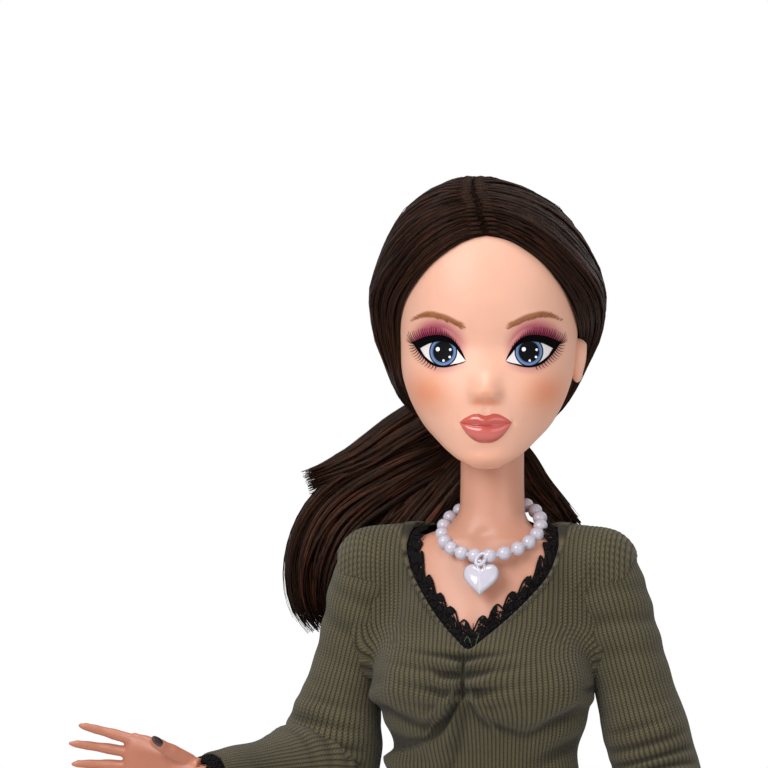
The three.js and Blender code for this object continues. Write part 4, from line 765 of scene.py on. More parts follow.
def lip_relief(x, z):
    """How far the moulded lips stand out, with the seam of the mouth between them."""
    side = np.minimum(np.abs(x), LIP_HALF)
    top, seam, low = (along(rows, side) for rows in (LIP_TOP, LIP_SEAM, LIP_LOW))
    fade = np.sqrt(np.clip(1 - (side / LIP_HALF) ** 2, 0, 1))
    upper = np.clip((z - seam) / np.maximum(top - seam, 0.05), 0, 1)
    lower = np.clip((seam - z) / np.maximum(seam - low, 0.05), 0, 1)
    rise = 0.52 * fade * (4 * upper * (1 - upper)) ** 0.7 + 0.78 * fade * (4 * lower * (1 - lower)) ** 0.7
    rise += 0.14 * hill(x, z, 0, 250.4, 0.8, 0.5)
    return np.maximum(rise, 0.36 * fade * bell(z, seam, 0.6))


def face_relief(x, z):
    """How far the face stands out from the plain oval of the head, in mm."""
    x = x / FACE_WIDE
    size = along(NOSE_ROWS, z)
    rise = size[..., 0] * np.exp(-(np.abs(x) / size[..., 1]) ** 2.3)
    rise += 0.6 * pair(x, z, 1.85, 255.1, 0.9, 1.0) - 0.12 * pair(x, z, 1.0, 254.0, 0.6, 0.4)
    rise += 0.1 * pair(x, z, 0.85, 252.6, 0.4, 0.9) - 0.12 * hill(x, z, 0, 252.6, 0.45, 0.9)
    rise += 0.62 * hill(x, z, 0, 249.3, 4.6, 3.4) + lip_relief(x, z)
    rise += -0.35 * hill(x, z, 0, 245.9, 2.8, 0.9) + 0.75 * hill(x, z, 0, 243.9, 3.4, 1.7)
    rise -= 0.16 * pair(x, z, 4.75, 250.3, 0.5, 0.7)
    rise -= 1.1 * pair(x, z, 7.4, 262.6, 4.6, 2.5)
    rise += 0.95 * pair(x, z, 7.5, 262.0, 3.7, 2.5)
    side = -np.clip(np.abs(x), 3.5, 12.7)
    lid = along(LINER_TOP, side)
    span = ease(np.abs(x), 3.6, 5.2) * fall(np.abs(x), 11.4, 13)
    rise += span * (0.2 * bell(z - lid, 0.25, 0.55) - 0.2 * bell(z - lid, 1.25, 0.32))
    rise += 0.32 * pair(x, z, 8.2, 267.2, 5.2, 1.9)
    return rise + 0.42 * pair(x, z, 9.3, 255.6, 4.6, 3.6)


def face_y(x, z):
    """The place of the face's surface in front of a point of the face, in the head's frame."""
    half, front, back = head_section(z)
    share = np.clip(np.abs(x) / np.maximum(half, 1e-6), 0, 0.9999) ** (HEAD_SQUARE / 2)
    plain = (back - front) / 2 - (back + front) / 2 * np.sqrt(1 - share ** 2) ** (2 / HEAD_SQUARE)
    return plain - ease(-plain / FACE_DEEP, 0.3, 0.75) * face_relief(x, z)


def on_face(x, z, lift):
    """Places a little in front of the face."""
    x, z = np.broadcast_arrays(np.asarray(x, float) * FACE_WIDE, np.asarray(z, float))
    slope = (face_y(x + 0.1, z) - face_y(x - 0.1, z)) / 0.2
    climb = (face_y(x, z + 0.1) - face_y(x, z - 0.1)) / 0.2
    out = unit(np.stack([slope, -np.ones_like(x), climb], axis=-1))
    return np.stack([x, face_y(x, z), z], axis=-1) + out * lift


def make_head(look):
    share = np.concatenate([np.linspace(-0.014, 0.02, 14), np.linspace(0.025, 0.62, 172),
                            np.linspace(0.635, 0.996, 44)])
    z = CHIN_Z + share[:, None] * HEAD_TALL
    angle = np.concatenate([np.linspace(0, math.pi, 74)[:-1], np.linspace(math.pi, TURN, 216)])[None, :]
    half, front, back = head_section(z)
    x, y = oval(half, front, back, angle, HEAD_SQUARE)
    z = np.broadcast_to(z, x.shape)
    y = y - ease(-y / FACE_DEEP, 0.3, 0.75) * face_relief(x, z)
    points = np.stack([x, y, z], axis=-1)
    x = x / FACE_WIDE
    facing = ease(-y, 1, 6)
    away = -np.clip(np.abs(x), 3.45, 12.74)
    over, under = z - along(LINER_TOP, away), along(LINER_LOW, away) - z
    # Blush on the cheeks, nose tip and chin; the pair of marks just under the nose is painted shade
    blush_and_nose_shade = 0.62 * pair(x, z, 10.6, 255.4, 3.8, 3.0) + 0.3 * hill(x, z, 0, 255.4, 1.8, 1.4)
    blush_and_nose_shade += 0.2 * hill(x, z, 0, 243.9, 5.5, 2.2) + 0.55 * pair(x, z, 1.3, 253.8, 1.2, 0.5)
    reach = np.hypot((np.abs(x) - 8.6) / 6.0, (z - 263.2) / np.where(z > 263.2, 5.6, 4.6))
    lid = fall(reach, 0.55, 1.02) * (0.74 + 0.26 * np.exp(-np.maximum(over, 0) / 1.2)) * ease(over, -0.5, 0.1)
    lid *= 0.75 + 0.25 * ease(np.abs(x), 5, 9)
    lid += 0.34 * ease(under, -0.4, 0.05) * fall(under, 0.1, 1.6) * ease(np.abs(x), 2.8,
            6.0) * fall(np.abs(x), 12, 14)
    side = -np.clip(np.abs(x), 3.3, 13.94)
    top, low = along(BROW_TOP, side), along(BROW_LOW, side)
    brow = ease(z, low - 0.22, low + 0.22) * fall(z, top - 0.22, top + 0.22)
    brow *= ease(np.abs(x), 3.1, 4.4) * fall(np.abs(x), 11.2, 13.9)
    brow *= 0.92
    marks = {"paint": np.stack([np.clip(blush_and_nose_shade, 0, 1) * facing, np.clip(lid * 1.08, 0, 1) * facing,
                                brow * facing], axis=-1)}
    head = grid_piece("head", from_head(points), marks)
    wear(head, FINISHES["face"], "head", ("head_shell",))

    ears = []
    tilt = math.radians(12)
    for side in (-1, 1):
        def ear_shape(local, side=side):
            out, u, v = side * local[:, 0], local[:, 1], local[:, 2]
            radius = np.hypot(u, v)
            bowl = fall(radius, 0.35, 0.8) * ease(out, 0, 0.3)
            out = out * (1.3 + 1.1 * ease(v, -0.9, 0.4)) - 0.9 * bowl
            lobe = 1 - 0.22 * ease(-v, 0.1, 1)
            y, z = u * 2.1 * lobe + 0.5 * v, v * 3.7
            c, s = math.cos(tilt), math.sin(tilt)
            local = np.stack([side * out, c * y - s * z, s * y + c * z], axis=-1)
            return from_head(local + np.array([side * (HEAD_HALF - 0.1), 0.5, 260.7]))

        ear = ball_piece("ear", 1, (0, 0, 0), 40, 28, ear_shape)
        set_attribute(ear.data, "paint", np.zeros((len(ear.data.vertices), 3)))
        ears.append(ear)
    wear(join("ears", ears), FINISHES["face"], "head")


def paint_patch(name, top, low, lift, mirror, columns=60, rows=8):
    """A thin layer of paint between two lines on the face."""
    first, last = max(top[0][0], low[0][0]), min(top[-1][0], low[-1][0])
    across = np.linspace(first, last, columns)
    high, down = along(top, across), along(low, across)
    share = np.linspace(0, 1, rows)[:, None]
    z = down + (high - down) * share
    x = np.broadcast_to(across, z.shape) * mirror
    return grid_piece(name, from_head(on_face(x, z, lift)), centre=(0, 4, 262))


def dot_patch(name, x, z, reach, lift, rings=10, sides=48):
    angle, radius = np.linspace(0, TURN, sides + 1)[None, :], np.linspace(0, 1, rings)[:, None]
    at_x, at_z = x + reach * radius * np.cos(angle), z + reach * radius * np.sin(angle)
    marks = {"ring": np.broadcast_to(radius, at_x.shape)}
    return grid_piece(name, from_head(on_face(at_x, at_z, lift)), marks, centre=(0, 4, 262))


def stroke_paths(strokes, bend, lift, steps=7):
    """Short brush strokes on the face, each from a root to a tip."""
    share = np.linspace(0, 1, steps)
    paths = []
    for (x0, z0), (x1, z1) in strokes:
        sag = bend * np.sin(math.pi * share)
        length = math.hypot(x1 - x0, z1 - z0)
        nx, nz = -(z1 - z0) / length, (x1 - x0) / length
        x = x0 + (x1 - x0) * share + nx * sag * length
        z = z0 + (z1 - z0) * share + nz * sag * length
        paths.append(from_head(on_face(x, z, lift)))
    return np.array(paths)


def make_face_paint(look):
    whites, irises, liners, glints, lashes, brows = [], [], [], [], [], []
    luck = np.random.default_rng(31)
    for mirror in (1, -1):
        whites.append(paint_patch("white", WHITE_TOP[1:], WHITE_LOW[1:], 0.02, mirror, 64, 20))
        irises.append(dot_patch("iris", IRIS[0] * mirror, IRIS[1], IRIS_REACH, 0.04, 26, 72))
        liners.append(paint_patch("liner", LINER_TOP, WHITE_TOP, 0.07, mirror, 90))
        liners.append(paint_patch("liner", WHITE_LOW, LINER_LOW, 0.07, mirror, 90))
        for x, z, reach in GLINTS:
            shift = (1 - mirror) * -IRIS[0]
            glints.append(dot_patch("glint", x + shift, z, reach, 0.1, 5, 24))
        fan = [((-12.4, 263.5), tip)
               for tip in ((-14.1, 264.5), (-14.1, 264.1), (-14.0, 265.1), (-13.8, 265.6))]
        for x in np.arange(-12.5, -4.4, 0.32):
            root = (x, float(along(LINER_TOP, x)) - 0.12)
            long = 0.55 + 0.95 * float(ease(-x, 4, 9.5)) + 0.12 * luck.uniform(-1, 1)
            fan.append((root, (x - 0.16 - 0.7 * float(ease(-x, 8.5, 12.5)) + 0.08 * luck.uniform(-1, 1),
                               root[1] + long)))
        fan += [((x0, z0), (x1, z1)) for x0, z0, x1, z1 in (
            (-12.6, 263.3, -13.7, 263.3), (-12.5, 263.0, -13.6, 262.7), (-12.3, 262.7, -13.4, 262.2),
            (-12.1, 262.4, -13.2, 261.7), (-11.8, 262.1, -12.9, 261.3), (-11.5, 261.8, -12.55, 260.9),
            (-11.2, 261.5, -12.2, 260.6), (-10.9, 261.2, -11.8, 260.3), (-10.5, 260.9, -11.35, 260.0),
            (-10.1, 260.5, -10.85, 259.7), (-9.7, 260.2, -10.3, 259.45), (-9.2, 260.0, -9.7, 259.3),
            (-8.7, 259.8, -9.05, 259.15))]
        fan = [((a * mirror, b), (c * mirror, d)) for (a, b), (c, d) in fan]
        lashes.append(stroke_paths(fan, 0.1 * mirror, 0.07))
        lines = []
        for x in np.arange(-13.0, -3.6, 0.21):
            top, low = float(along(BROW_TOP, x)), float(along(BROW_LOW, x))
            lean = 0.5 + 0.35 * (x + 13) / 9
            start = low + (top - low) * luck.uniform(-0.05, 0.35)
            lines.append(((x + 0.3 * luck.uniform(-1, 1), start),
                          (x - lean, start + (top - low) * luck.uniform(0.4, 0.75))))
        lines = [((a * mirror, b), (c * mirror, d)) for (a, b), (c, d) in lines]
        brows.append(stroke_paths(lines, 0.06 * mirror, 0.015))
    wear(join("eye_whites", whites), FINISHES["eye_white"], "head")
    wear(join("irises", irises), FINISHES["iris"], "head")
    wear(join("eye_liner", liners), FINISHES["liner"], "head")
    wear(join("eye_glints", glints), FINISHES["glint"], "head")
    for name, groups, thick, finish in (("lashes", lashes, 0.085, "liner"),
                                        ("brow_strokes", brows, 0.075, "brow_line")):
        paths = np.concatenate(groups)
        taper = np.linspace(1, 0.25, paths.shape[1])[None, :] * thick
        wear(strand_piece(name, paths, np.broadcast_to(taper, paths.shape[:2]), 5), FINISHES[finish],
             "head")

    across = np.linspace(-LIP_HALF, LIP_HALF, 90)
    top, seam, low = (along(rows, np.abs(across)) for rows in (LIP_TOP, LIP_SEAM, LIP_LOW))
    lower, upper = np.linspace(0, 1, 22)[:, None], np.linspace(0, 1, 16)[1:, None]
    z = np.vstack([low + (seam - low) * lower, seam + (top - seam) * upper])
    share = np.broadcast_to(np.concatenate([lower[:, 0] * 0.5, 0.5 + upper[:, 0] * 0.5])[:, None], z.shape)
    x = np.broadcast_to(across, z.shape)
    lift = 0.03 + 0.05 * np.sqrt(np.clip(1 - (x / LIP_HALF) ** 2, 0, 1))[..., None]
    lips = grid_piece("lips", from_head(on_face(x, z, lift)), {"lip": share}, centre=(0, 4, 250))
    wear(lips, FINISHES["lips"], "head")


# Hair

def reach_of(ways, rows, half, square=HEAD_SQUARE):
    """How far a stack of ovals reaches from the middle of the head along each direction."""
    low, high = np.full(ways.shape[:-1], 4.0), np.full(ways.shape[:-1], 40.0)
    for _ in range(26):
        middle = (low + high) / 2
        point = HAIR_CENTRE + ways * middle[..., None]
        share = (point[..., 2] - CHIN_Z) / HEAD_TALL
        sizes = along(rows, share)
        wide, front, back = sizes[..., 0] * half, sizes[..., 1] * FACE_DEEP, sizes[..., 2] * SKULL_DEEP
        deep = np.maximum((back + front) / 2, 0.05)
        size = (np.abs(point[..., 0]) / np.maximum(wide, 0.05)) ** square
        size += (np.abs(point[..., 1] - (back - front) / 2) / deep) ** square
        outside = (size > 1) | (share > rows[-1][0]) | (share < -0.1)
        high, low = np.where(outside, middle, high), np.where(outside, low, middle)
    return (low + high) / 2


def round_tie(turn):
    """Ways from the tie's middle, square to its own way."""
    return np.cos(turn)[..., None] * np.array([1.0, 0, 0]) + np.sin(turn)[..., None] * TIE_UP


def hair_ways(s, t, side):
    """Ways from the head's middle: s from the hairline to the back, t from the parting to the tie."""
    hairline = HAIRLINE if side > 0 else HAIRLINE[:6] + EAR_COVER + HAIRLINE[10:]

    def edge(points, at):
        table = np.array(points, float)
        step = walked(table)
        return unit(along(np.column_stack([step / step[-1], table]), at) - HAIR_CENTRE)

    def ring(at):
        turn = (at - 0.5) * math.pi
        return unit(TIE + 1.9 * round_tie(turn) - HAIR_CENTRE)

    s1, t1 = s[..., None], t[..., None]
    corner = [edge(hairline, np.zeros(1))[0], edge(hairline, np.ones(1))[0],
              edge(HAIR_BACK, np.zeros(1))[0], edge(HAIR_BACK, np.ones(1))[0]]
    made = (1 - s1) * edge(hairline, t) + s1 * edge(HAIR_BACK, t) + (1 - t1) * edge(PARTING, s) + t1 * ring(s)
    made -= (1 - s1) * (1 - t1) * corner[0] + (1 - s1) * t1 * corner[1] + s1 * (1
            - t1) * corner[2] + s1 * t1 * corner[3]
    return unit(made)


def hair_surface(s, t, side, lift=0.0):
    """Places on the combed hair of one side, in the head's frame."""
    ways = hair_ways(s, t, side)
    outer, skull = reach_of(ways, HAIR_ROWS, HAIR_HALF), reach_of(ways, HEAD_ROWS, HEAD_HALF)
    full = ease(s, -0.02, 0.16)
    groove = 0.3 * ripple(s * 9 + 0.2 * t, 3 + side) + 0.2 * ripple(s * 23 + 0.3 * t, 5 + side, (1, 1.7, 2.9))
    groove += 0.1 * ripple(s * 60, 9 + side, (1, 1.6, 2.2))
    groove *= ease(t, 0, 0.12) * (1 - 0.5 * ease(t, 0.8, 1)) * (0.4 + 0.6 * full)
    dip = 0.45 * bell(t, 0, 0.018) * ease(s, 0, 0.05)
    radius = np.maximum(skull + 0.22 + (outer - skull - 0.22) * full + groove, skull + 0.18) - dip * 0.8
    point = HAIR_CENTRE + ways * (radius + lift)[..., None]
    zig = 0.45 * ripple(s * 5, 71) * fall(t, 0, 0.06) * ease(s, 0.0, 0.03)
    point[..., 0] += zig * side
    turn = (s - 0.5) * math.pi
    knot = TIE - TIE_WAY * 1.2 + (1.75 + np.asarray(lift) * 0.4)[..., None] * round_tie(turn)
    pull = ease(t, 0.8, 1)[..., None]
    point = point * (1 - pull) + knot * pull
    point = point * np.array([side, 1, 1])
    point[..., 0] -= 2.4 * np.sin(math.pi * np.clip(s * 1.15, 0, 1)) * fall(t, 0, 0.45)
    return point, ways * np.array([side, 1, 1])


def make_hair(look):
    for label, side in SIDES.items():
        s, t = np.meshgrid(np.linspace(0, 1, 300), np.linspace(0, 1, 84), indexing="ij")
        points, _ = hair_surface(s, t, side)
        comb = np.stack([s * look.hair_lines, t, 0.5 + 0.4 * ripple(s * 30, 17 + side)], axis=-1)
        cap = grid_piece(f"hair_cap_{label}", from_head(points), {"comb": comb}, centre=(0, 2, 264))
        wear(cap, FINISHES["hair"], "head", ("scalp_hair",) if side < 0 else ())

        luck = np.random.default_rng(40 + side)
        count, steps = 250, 30
        at = luck.uniform(0.0, 1.0, count) ** 1.1
        start = np.where(luck.uniform(0, 1, count) < 0.7, 0.0, luck.uniform(0, 0.5, count))
        t = start[:, None] + (1 - start[:, None]) * np.linspace(0, 1, steps)[None, :]
        wander = 0.012 * np.sin(TURN * (t * luck.uniform(0.4, 1.2, count)[:, None]
                                        + luck.uniform(0, 1, count)[:, None]))
        s = np.clip(at[:, None] + wander * ease(t, 0, 0.2), 0.002, 0.998)
        lift = luck.uniform(-0.1, 0.22, count)[:, None] * np.ones(steps)
        points, out = hair_surface(s, t, side, lift)
        body = ease(np.linspace(0, 1, steps), 0, 0.14) * (1 - 0.7 * ease(np.linspace(0, 1, steps), 0.7, 1))
        radii = luck.uniform(0.3, 0.62, count)[:, None] * (0.28 + 0.72 * body)[None, :]
        locks = strand_piece(f"hair_locks_{label}", from_head(points), radii, 6, 0.36,
                             from_head(points + out) - from_head(points))
        wear(locks, FINISHES["hair"], "head")

        count, steps = 420, 26
        at = luck.uniform(0.0, 1.0, count)
        start = np.where(luck.uniform(0, 1, count) < 0.5, 0.0, luck.uniform(0, 0.6, count))
        end = np.minimum(1, start + luck.uniform(0.35, 1.0, count))
        t = start[:, None] + (end - start)[:, None] * np.linspace(0, 1, steps)[None, :]
        wander = 0.03 * np.sin(TURN * (t * luck.uniform(0.3, 1.0, count)[:, None]
                                       + luck.uniform(0, 1, count)[:, None]))
        s = np.clip(at[:, None] + wander * ease(t, 0, 0.2), 0.0, 0.999)
        loose = luck.uniform(0.02, 0.14, count) + (luck.uniform(0, 1, count) > 0.965) * luck.uniform(0.15,
                0.5, count)
        lift = 0.08 + loose[:, None] * np.sin(math.pi * np.linspace(0.05, 1, steps))[None, :]
        points, _ = hair_surface(s, t, side, lift)
        radii = np.full((count, steps), 0.055) * (1 - 0.6 * np.linspace(0, 1, steps) ** 4)[None, :]
        wear(strand_piece(f"hair_strands_{label}", from_head(points), radii, 4), FINISHES["hair"],
             "head")

    # Root plugs stand in a row beside the parting
    plugs = []
    for side in (-1, 1):
        s = np.linspace(0.02, 0.75, 34)
        points, out = hair_surface(s, np.full(34, 0.012), side, np.full(34, 0.0))
        tip, _ = hair_surface(s, np.full(34, 0.05), side, np.full(34, 0.1))
        plugs.append(np.stack([points - out * 0.5, points + out * 0.28, (points + tip) / 2 + out * 0.22,
                               tip - out * 0.1], axis=1))
    plugs = np.concatenate(plugs)
    radii = np.broadcast_to(np.array([0.3, 0.34, 0.3, 0.1]), plugs.shape[:2])
    wear(strand_piece("hair_plugs", from_head(plugs), radii, 8), FINISHES["hair"], "head")

    turn = np.linspace(0, TURN, 49)[None, :]
    tube = np.linspace(0, TURN, 19)[:, None]
    crinkle = 0.14 * np.sin(turn * 17)
    radius = 3.2 + (1.05 + crinkle) * np.cos(tube)
    points = (TIE + radius[..., None] * round_tie(turn)
              + ((1.05 + crinkle) * np.sin(tube))[..., None] * TIE_WAY)
    tie = grid_piece("hair_tie_band", from_head(points))
    wear(tie, FINISHES["twine"], "head", ("hair_tie",))


TAIL_SPAN = 60.0
TAIL_ROUTES = {
    # number of locks, places as shares of the span, spread as shares of the span
    "flick": (120, [(0, 0, 0), (-0.117, -0.02, 0.042), (-0.242, -0.03, -0.012), (-0.35, -0.04, -0.08),
                   (-0.45, -0.05, -0.125), (-0.53, -0.06, -0.158)],
              [(0, 0.03), (0.25, 0.062), (0.5, 0.06), (0.75, 0.042), (0.9, 0.03), (1, 0.026)]),
    "sweep": (270, [(0, 0, 0), (-0.133, -0.02, -0.092), (-0.283, -0.03, -0.175), (-0.417, -0.05, -0.275),
                    (-0.475, -0.065, -0.392), (-0.483, -0.08, -0.492), (-0.458, -0.095, -0.567)],
              [(0, 0.03), (0.2, 0.085), (0.41, 0.112), (0.62, 0.122), (0.78, 0.108), (0.9, 0.085),
               (1, 0.05)]),
    "fill": (120, [(0, 0, 0), (-0.08, -0.03, -0.09), (-0.17, -0.04, -0.19), (-0.25, -0.05, -0.29),
                   (-0.33, -0.07, -0.4),
                  (-0.38, -0.08, -0.5)],
             [(0, 0.03), (0.3, 0.075), (0.6, 0.09), (0.85, 0.08), (1, 0.05)]),
    "short": (80, [(0, 0, 0), (0.075, -0.03, -0.083), (0.125, -0.06, -0.167), (0.183, -0.08, -0.233),
                   (0.242, -0.1, -0.292)],
              [(0, 0.026), (0.25, 0.042), (0.5, 0.05), (0.75, 0.042), (1, 0.022)]),
}


def make_ponytail(look):
    luck = np.random.default_rng(77)
    root = TIE + TIE_WAY * 1.4
    steps = 26
    share = np.linspace(0, 1, steps)
    thick, thin = ([], []), ([], [])
    for count, route, spread in TAIL_ROUTES.values():
        middle = spline(np.array(route) * TAIL_SPAN + root + TIE_WAY * 1.5, steps)
        middle[0] = root
        ahead = unit(np.gradient(middle, axis=0))
        back = unit(np.array([0.0, 1.0, 0.0]) - ahead * ahead[:, 1:2])
        side = np.cross(ahead, back)
        for kind, many in ((thick, count), (thin, count)):
            for _ in range(many):
                angle, depth = luck.uniform(0, TURN), math.sqrt(luck.uniform(0.05, 1))
                if kind is thin:
                    depth = luck.uniform(0.8, 1.04)
                end = luck.uniform(0.93, 1.0) if luck.uniform() < 0.85 else luck.uniform(0.65, 0.93)
                at = share * end
                centre = np.stack([np.interp(at, share, middle[:, k]) for k in range(3)], axis=-1)
                across = np.stack([np.interp(at, share, side[:, k]) for k in range(3)], axis=-1)
                behind = np.stack([np.interp(at, share, back[:, k]) for k in range(3)], axis=-1)
                reach = along(spread, at) * TAIL_SPAN * depth
                twist = angle + 0.5 * luck.uniform(-1, 1) * share
                curl = luck.uniform(-1, 1) * 0.9 * share ** 4
                path = centre + across * (reach * np.sin(twist) + curl)[:, None]
                path += behind * (reach * 0.6 * np.cos(twist) + 0.6 * curl)[:, None]
                kind[0].append(path)
                size = luck.uniform(0.7, 1.3) if kind is thick else luck.uniform(0.05, 0.08)
                form = 0.3 + 0.7 * ease(share, 0, 0.3)
                kind[1].append(size * form * (1 - 0.9 * ease(share, 0.78, 1.0)) + 0.02)
    locks = strand_piece("ponytail_locks", from_head(np.array(thick[0])), np.array(thick[1]), 6, 0.5)
    wear(locks, FINISHES["hair"], "head", ("ponytail",))
    wear(strand_piece("ponytail_strands", from_head(np.array(thin[0])), np.array(thin[1]), 4),
         FINISHES["hair"], "head")


# Body and sweater

def trunk(angle, z, offset):
    """Places on the trunk's surface at a height, set out by an offset for clothes."""
    lifted = ease(z, TRUNK_LOW + 0.7 * TRUNK_TALL, TRUNK_LOW + 0.8 * TRUNK_TALL + offset) * offset
    sizes = along(TRUNK_ROWS, (z - lifted - TRUNK_LOW) / TRUNK_TALL)
    x, y = oval(sizes[..., 0] * HIP_HALF + offset, sizes[..., 1] * BUST_DEEP + offset,
                sizes[..., 2] * SEAT_DEEP + offset, angle, TRUNK_SQUARE)
    return np.stack(np.broadcast_arrays(x, y, z), axis=-1)


def make_body(look):
    z = np.concatenate([np.linspace(192, 222, 40), np.linspace(222.4, 247, 80)])[:, None]
    angle = np.linspace(0, TURN, 161)[None, :]
    points = trunk(*np.broadcast_arrays(angle, z), 0.0)
    x, y, height = points[..., 0], points[..., 1], points[..., 2]
    front = ease(-y, 2, 5)
    bone = 0.35 * pair(np.abs(x), height, 6.5, 230.6, 4.5, 0.9) - 0.4 * hill(x, height, 0, 231.2, 1.6, 1.4)
    cleft = -0.9 * hill(x, height, 0, 209, 1.6, 7) * (height < 224)
    points[..., 1] -= front * (bone + cleft)
    points[..., 0] += 0.75 * ease(height, 228, 237)
    crown = points[-1:].copy()
    crown[..., :2] = crown[..., :2] * 0.55
    points = np.concatenate([points, crown])
    chest = grid_piece("torso_skin", points)
    wear(chest, FINISHES["body"], "torso", ("torso_front", "torso_back"))


def neckline_top(angle, inset, offset):
    """The height of the neckline's edge at each angle, with the opening made smaller by an inset."""
    z = np.arange(205, 238, 0.05)[:, None]
    points = trunk(*np.broadcast_arrays(angle[None, :], z), offset)
    down = (NECKLINE_TOP - z) / (NECKLINE_DEEP - 1.5 * inset)
    x, y = np.abs(points[..., 0] + 0.9 * ease(down, 0.2, 1)), points[..., 1]
    wide = NECKLINE_HALF - inset
    front = (y < 0.3) & (x < wide * along(NECKLINE_ROWS, down)) & (down < 1)
    back = (y >= 0.3) & (z > BACK_LOW) & ((x / wide) ** 2 + (y / (BACK_DEEP - inset)) ** 2 < 1)
    open_at = front | back
    first = np.argmax(open_at, axis=0)
    first = np.where(open_at.any(axis=0), first, len(z) - 1)
    top = z[first, 0]
    pad = 5
    wrapped = np.concatenate([top[-pad - 1:-1], top, top[1:pad + 1]])
    return np.convolve(wrapped, np.ones(2 * pad + 1) / (2 * pad + 1), mode="valid")


def sweater_field(points):
    """About how far places are outside the sweater, which flows over the shoulders to the armholes."""
    x, y, z = points[..., 0], points[..., 1], points[..., 2]
    offset = SKIN_GAP + KNIT
    lifted = ease(z, TRUNK_LOW + 0.7 * TRUNK_TALL, TRUNK_LOW + 0.8 * TRUNK_TALL + offset) * offset
    sizes = along(TRUNK_ROWS, (z - lifted - TRUNK_LOW) / TRUNK_TALL)
    half = sizes[..., 0] * HIP_HALF + offset
    front, back = sizes[..., 1] * BUST_DEEP + offset, sizes[..., 2] * SEAT_DEEP + offset
    y = y - (back - front) / 2
    size = (np.abs(x) / half) ** TRUNK_SQUARE + (np.abs(y) / ((back + front) / 2)) ** TRUNK_SQUARE
    size = size ** (1 / TRUNK_SQUARE)
    made = np.hypot(x, y) * (1 - 1 / np.maximum(size, 1e-6))
    soft = 0.05 + 5.5 * ease(z, 205, 213)
    for label in SIDES:
        start, end = joint_place(f"{label}_shoulder_swing"), joint_place(f"{label}_elbow_bend")
        way = end - start
        share = np.clip(np.sum((points - start) * way, axis=-1) / np.dot(way, way), 0, 1)
        away = np.linalg.norm(points - start - share[..., None] * way, axis=-1) - (YOKE - 0.15 * share)
        away = away + 20 * fall(z, 203.5, 207.5)
        near = np.clip(1 - np.abs(made - away) / soft, 0, 1)
        made = np.minimum(made, away) - near * near * soft / 4
        root, crest = np.array([SIDES[label] * 8.6, 2.4, 231.2]), start + np.array([0, 0, 0.2])
        way = crest - root
        share = np.clip(np.sum((points - root) * way, axis=-1) / np.dot(way, way), 0, 1)
        away = np.linalg.norm(points - root - share[..., None] * way, axis=-1) - (3.6 + 2.2 * share)
        near = np.clip(1 - np.abs(made - away) / 2, 0, 1)
        made = np.minimum(made, away) - near * near * 0.5
    return np.maximum(made, np.abs(x) - along(ARMHOLE_ROWS, z))


def field_reach(base, way, farthest=16.0):
    """How far places on the trunk lie below the sweater's surface along each direction."""
    low, high = np.zeros(base.shape[:-1]), np.full(base.shape[:-1], farthest)
    for _ in range(22):
        at = (low + high) / 2
        outside = sweater_field(base + way * at[..., None]) > 0
        low, high = np.where(outside, low, at), np.where(outside, at, high)
    return low


def shoulder_way(base, angle):
    """Directions from places on the trunk out to the sweater, leaning up where it covers the shoulders."""
    lean = 2.2 * ease(base[..., 2], 212, 231) * ease(np.abs(np.cos(angle)), 0.35, 0.85)
    level = unit(np.stack([base[..., 0], base[..., 1] + 1, np.zeros_like(lean)], axis=-1))
    return unit(level + lean[..., None] * np.array([0, 0, 1.0]))


def sweater_folds(x, y, z):
    """The sweater's main folds as the camera sees them: cups, gathered seam and overlapping layer."""
    u = x * math.cos(VIEW_TURN) + y * math.sin(VIEW_TURN)
    crease = along(CREASE_ROWS, np.clip(u, CREASE_ROWS[0][0], CREASE_ROWS[-1][0]))
    away = u - GATHER[0]
    cup = ease(z - crease, -0.5, 2.6) * fall(z, 205, 219)
    rise = 1.9 * cup * (1 - 0.75 * bell(away, 0, 1.9)) * fall(np.abs(u + 1), 14, 19)
    inside = ease(z, GATHER[1] - 0.6, GATHER[1] + 0.8) * fall(z, GATHER[2] - 0.3, GATHER[2] + 0.7)
    rise -= 1.1 * bell(away, 0, 0.5) * inside
    reach = np.exp(-np.abs(away) / 3.6) * ease(np.abs(away), 0.1, 0.9)
    drop = z - 0.16 * np.abs(away)
    rise += 1.15 * np.cos(TURN * (drop - 209.4) / 2.7) * reach * ease(z, 203, 205.5) * fall(z, 211, 213)
    dents = 1.0 * hill(u, z, GATHER[0] + 2.4, 205.8, 1.4, 0.8)
    rise -= dents + 0.7 * hill(u, z, GATHER[0] - 2.6, 207.8, 1.6, 0.6)
    for slope, size in ((-0.9, 0.5), (-1.6, 0.42), (0.75, 0.35)):
        line = 205.5 + slope * (np.abs(away) - 1.4)
        rise += size * bell(z, line, 0.8) * ease(np.abs(away), 0.6, 1.8) * fall(np.abs(away), 3.5, 8)
    edge = along(OVERLAP_ROWS, np.clip(u, OVERLAP_ROWS[0][0], OVERLAP_ROWS[-1][0]))
    layer = 1.7 * fall(z - edge, -0.5, 0.2) * ease(z - edge, -9, -2)
    rise += layer * fall(u, -6.2, -3.6) * ease(u, -19, -16.5)
    drawn = 0.4 * np.sin((z - 0.42 * np.abs(u)) * 1.05) * ease(np.abs(u), 5, 13)
    rise += drawn * fall(z, 198, 204) * ease(z, 184, 190)
    pulls = 1.2 * hill(u, z, -18.6, 204.2, 2.2, 1.5) + 0.8 * hill(u, z, 18.4, 203.6, 2.0, 1.4)
    rise += pulls - 0.5 * hill(u, z, 17.0, 205.6, 2.4, 0.8)
    return rise


def rib(phase):
    """One rib's cross-section, rounded on top with a narrow valley."""
    return np.abs(np.cos(math.pi * phase)) ** 0.6 - 0.6


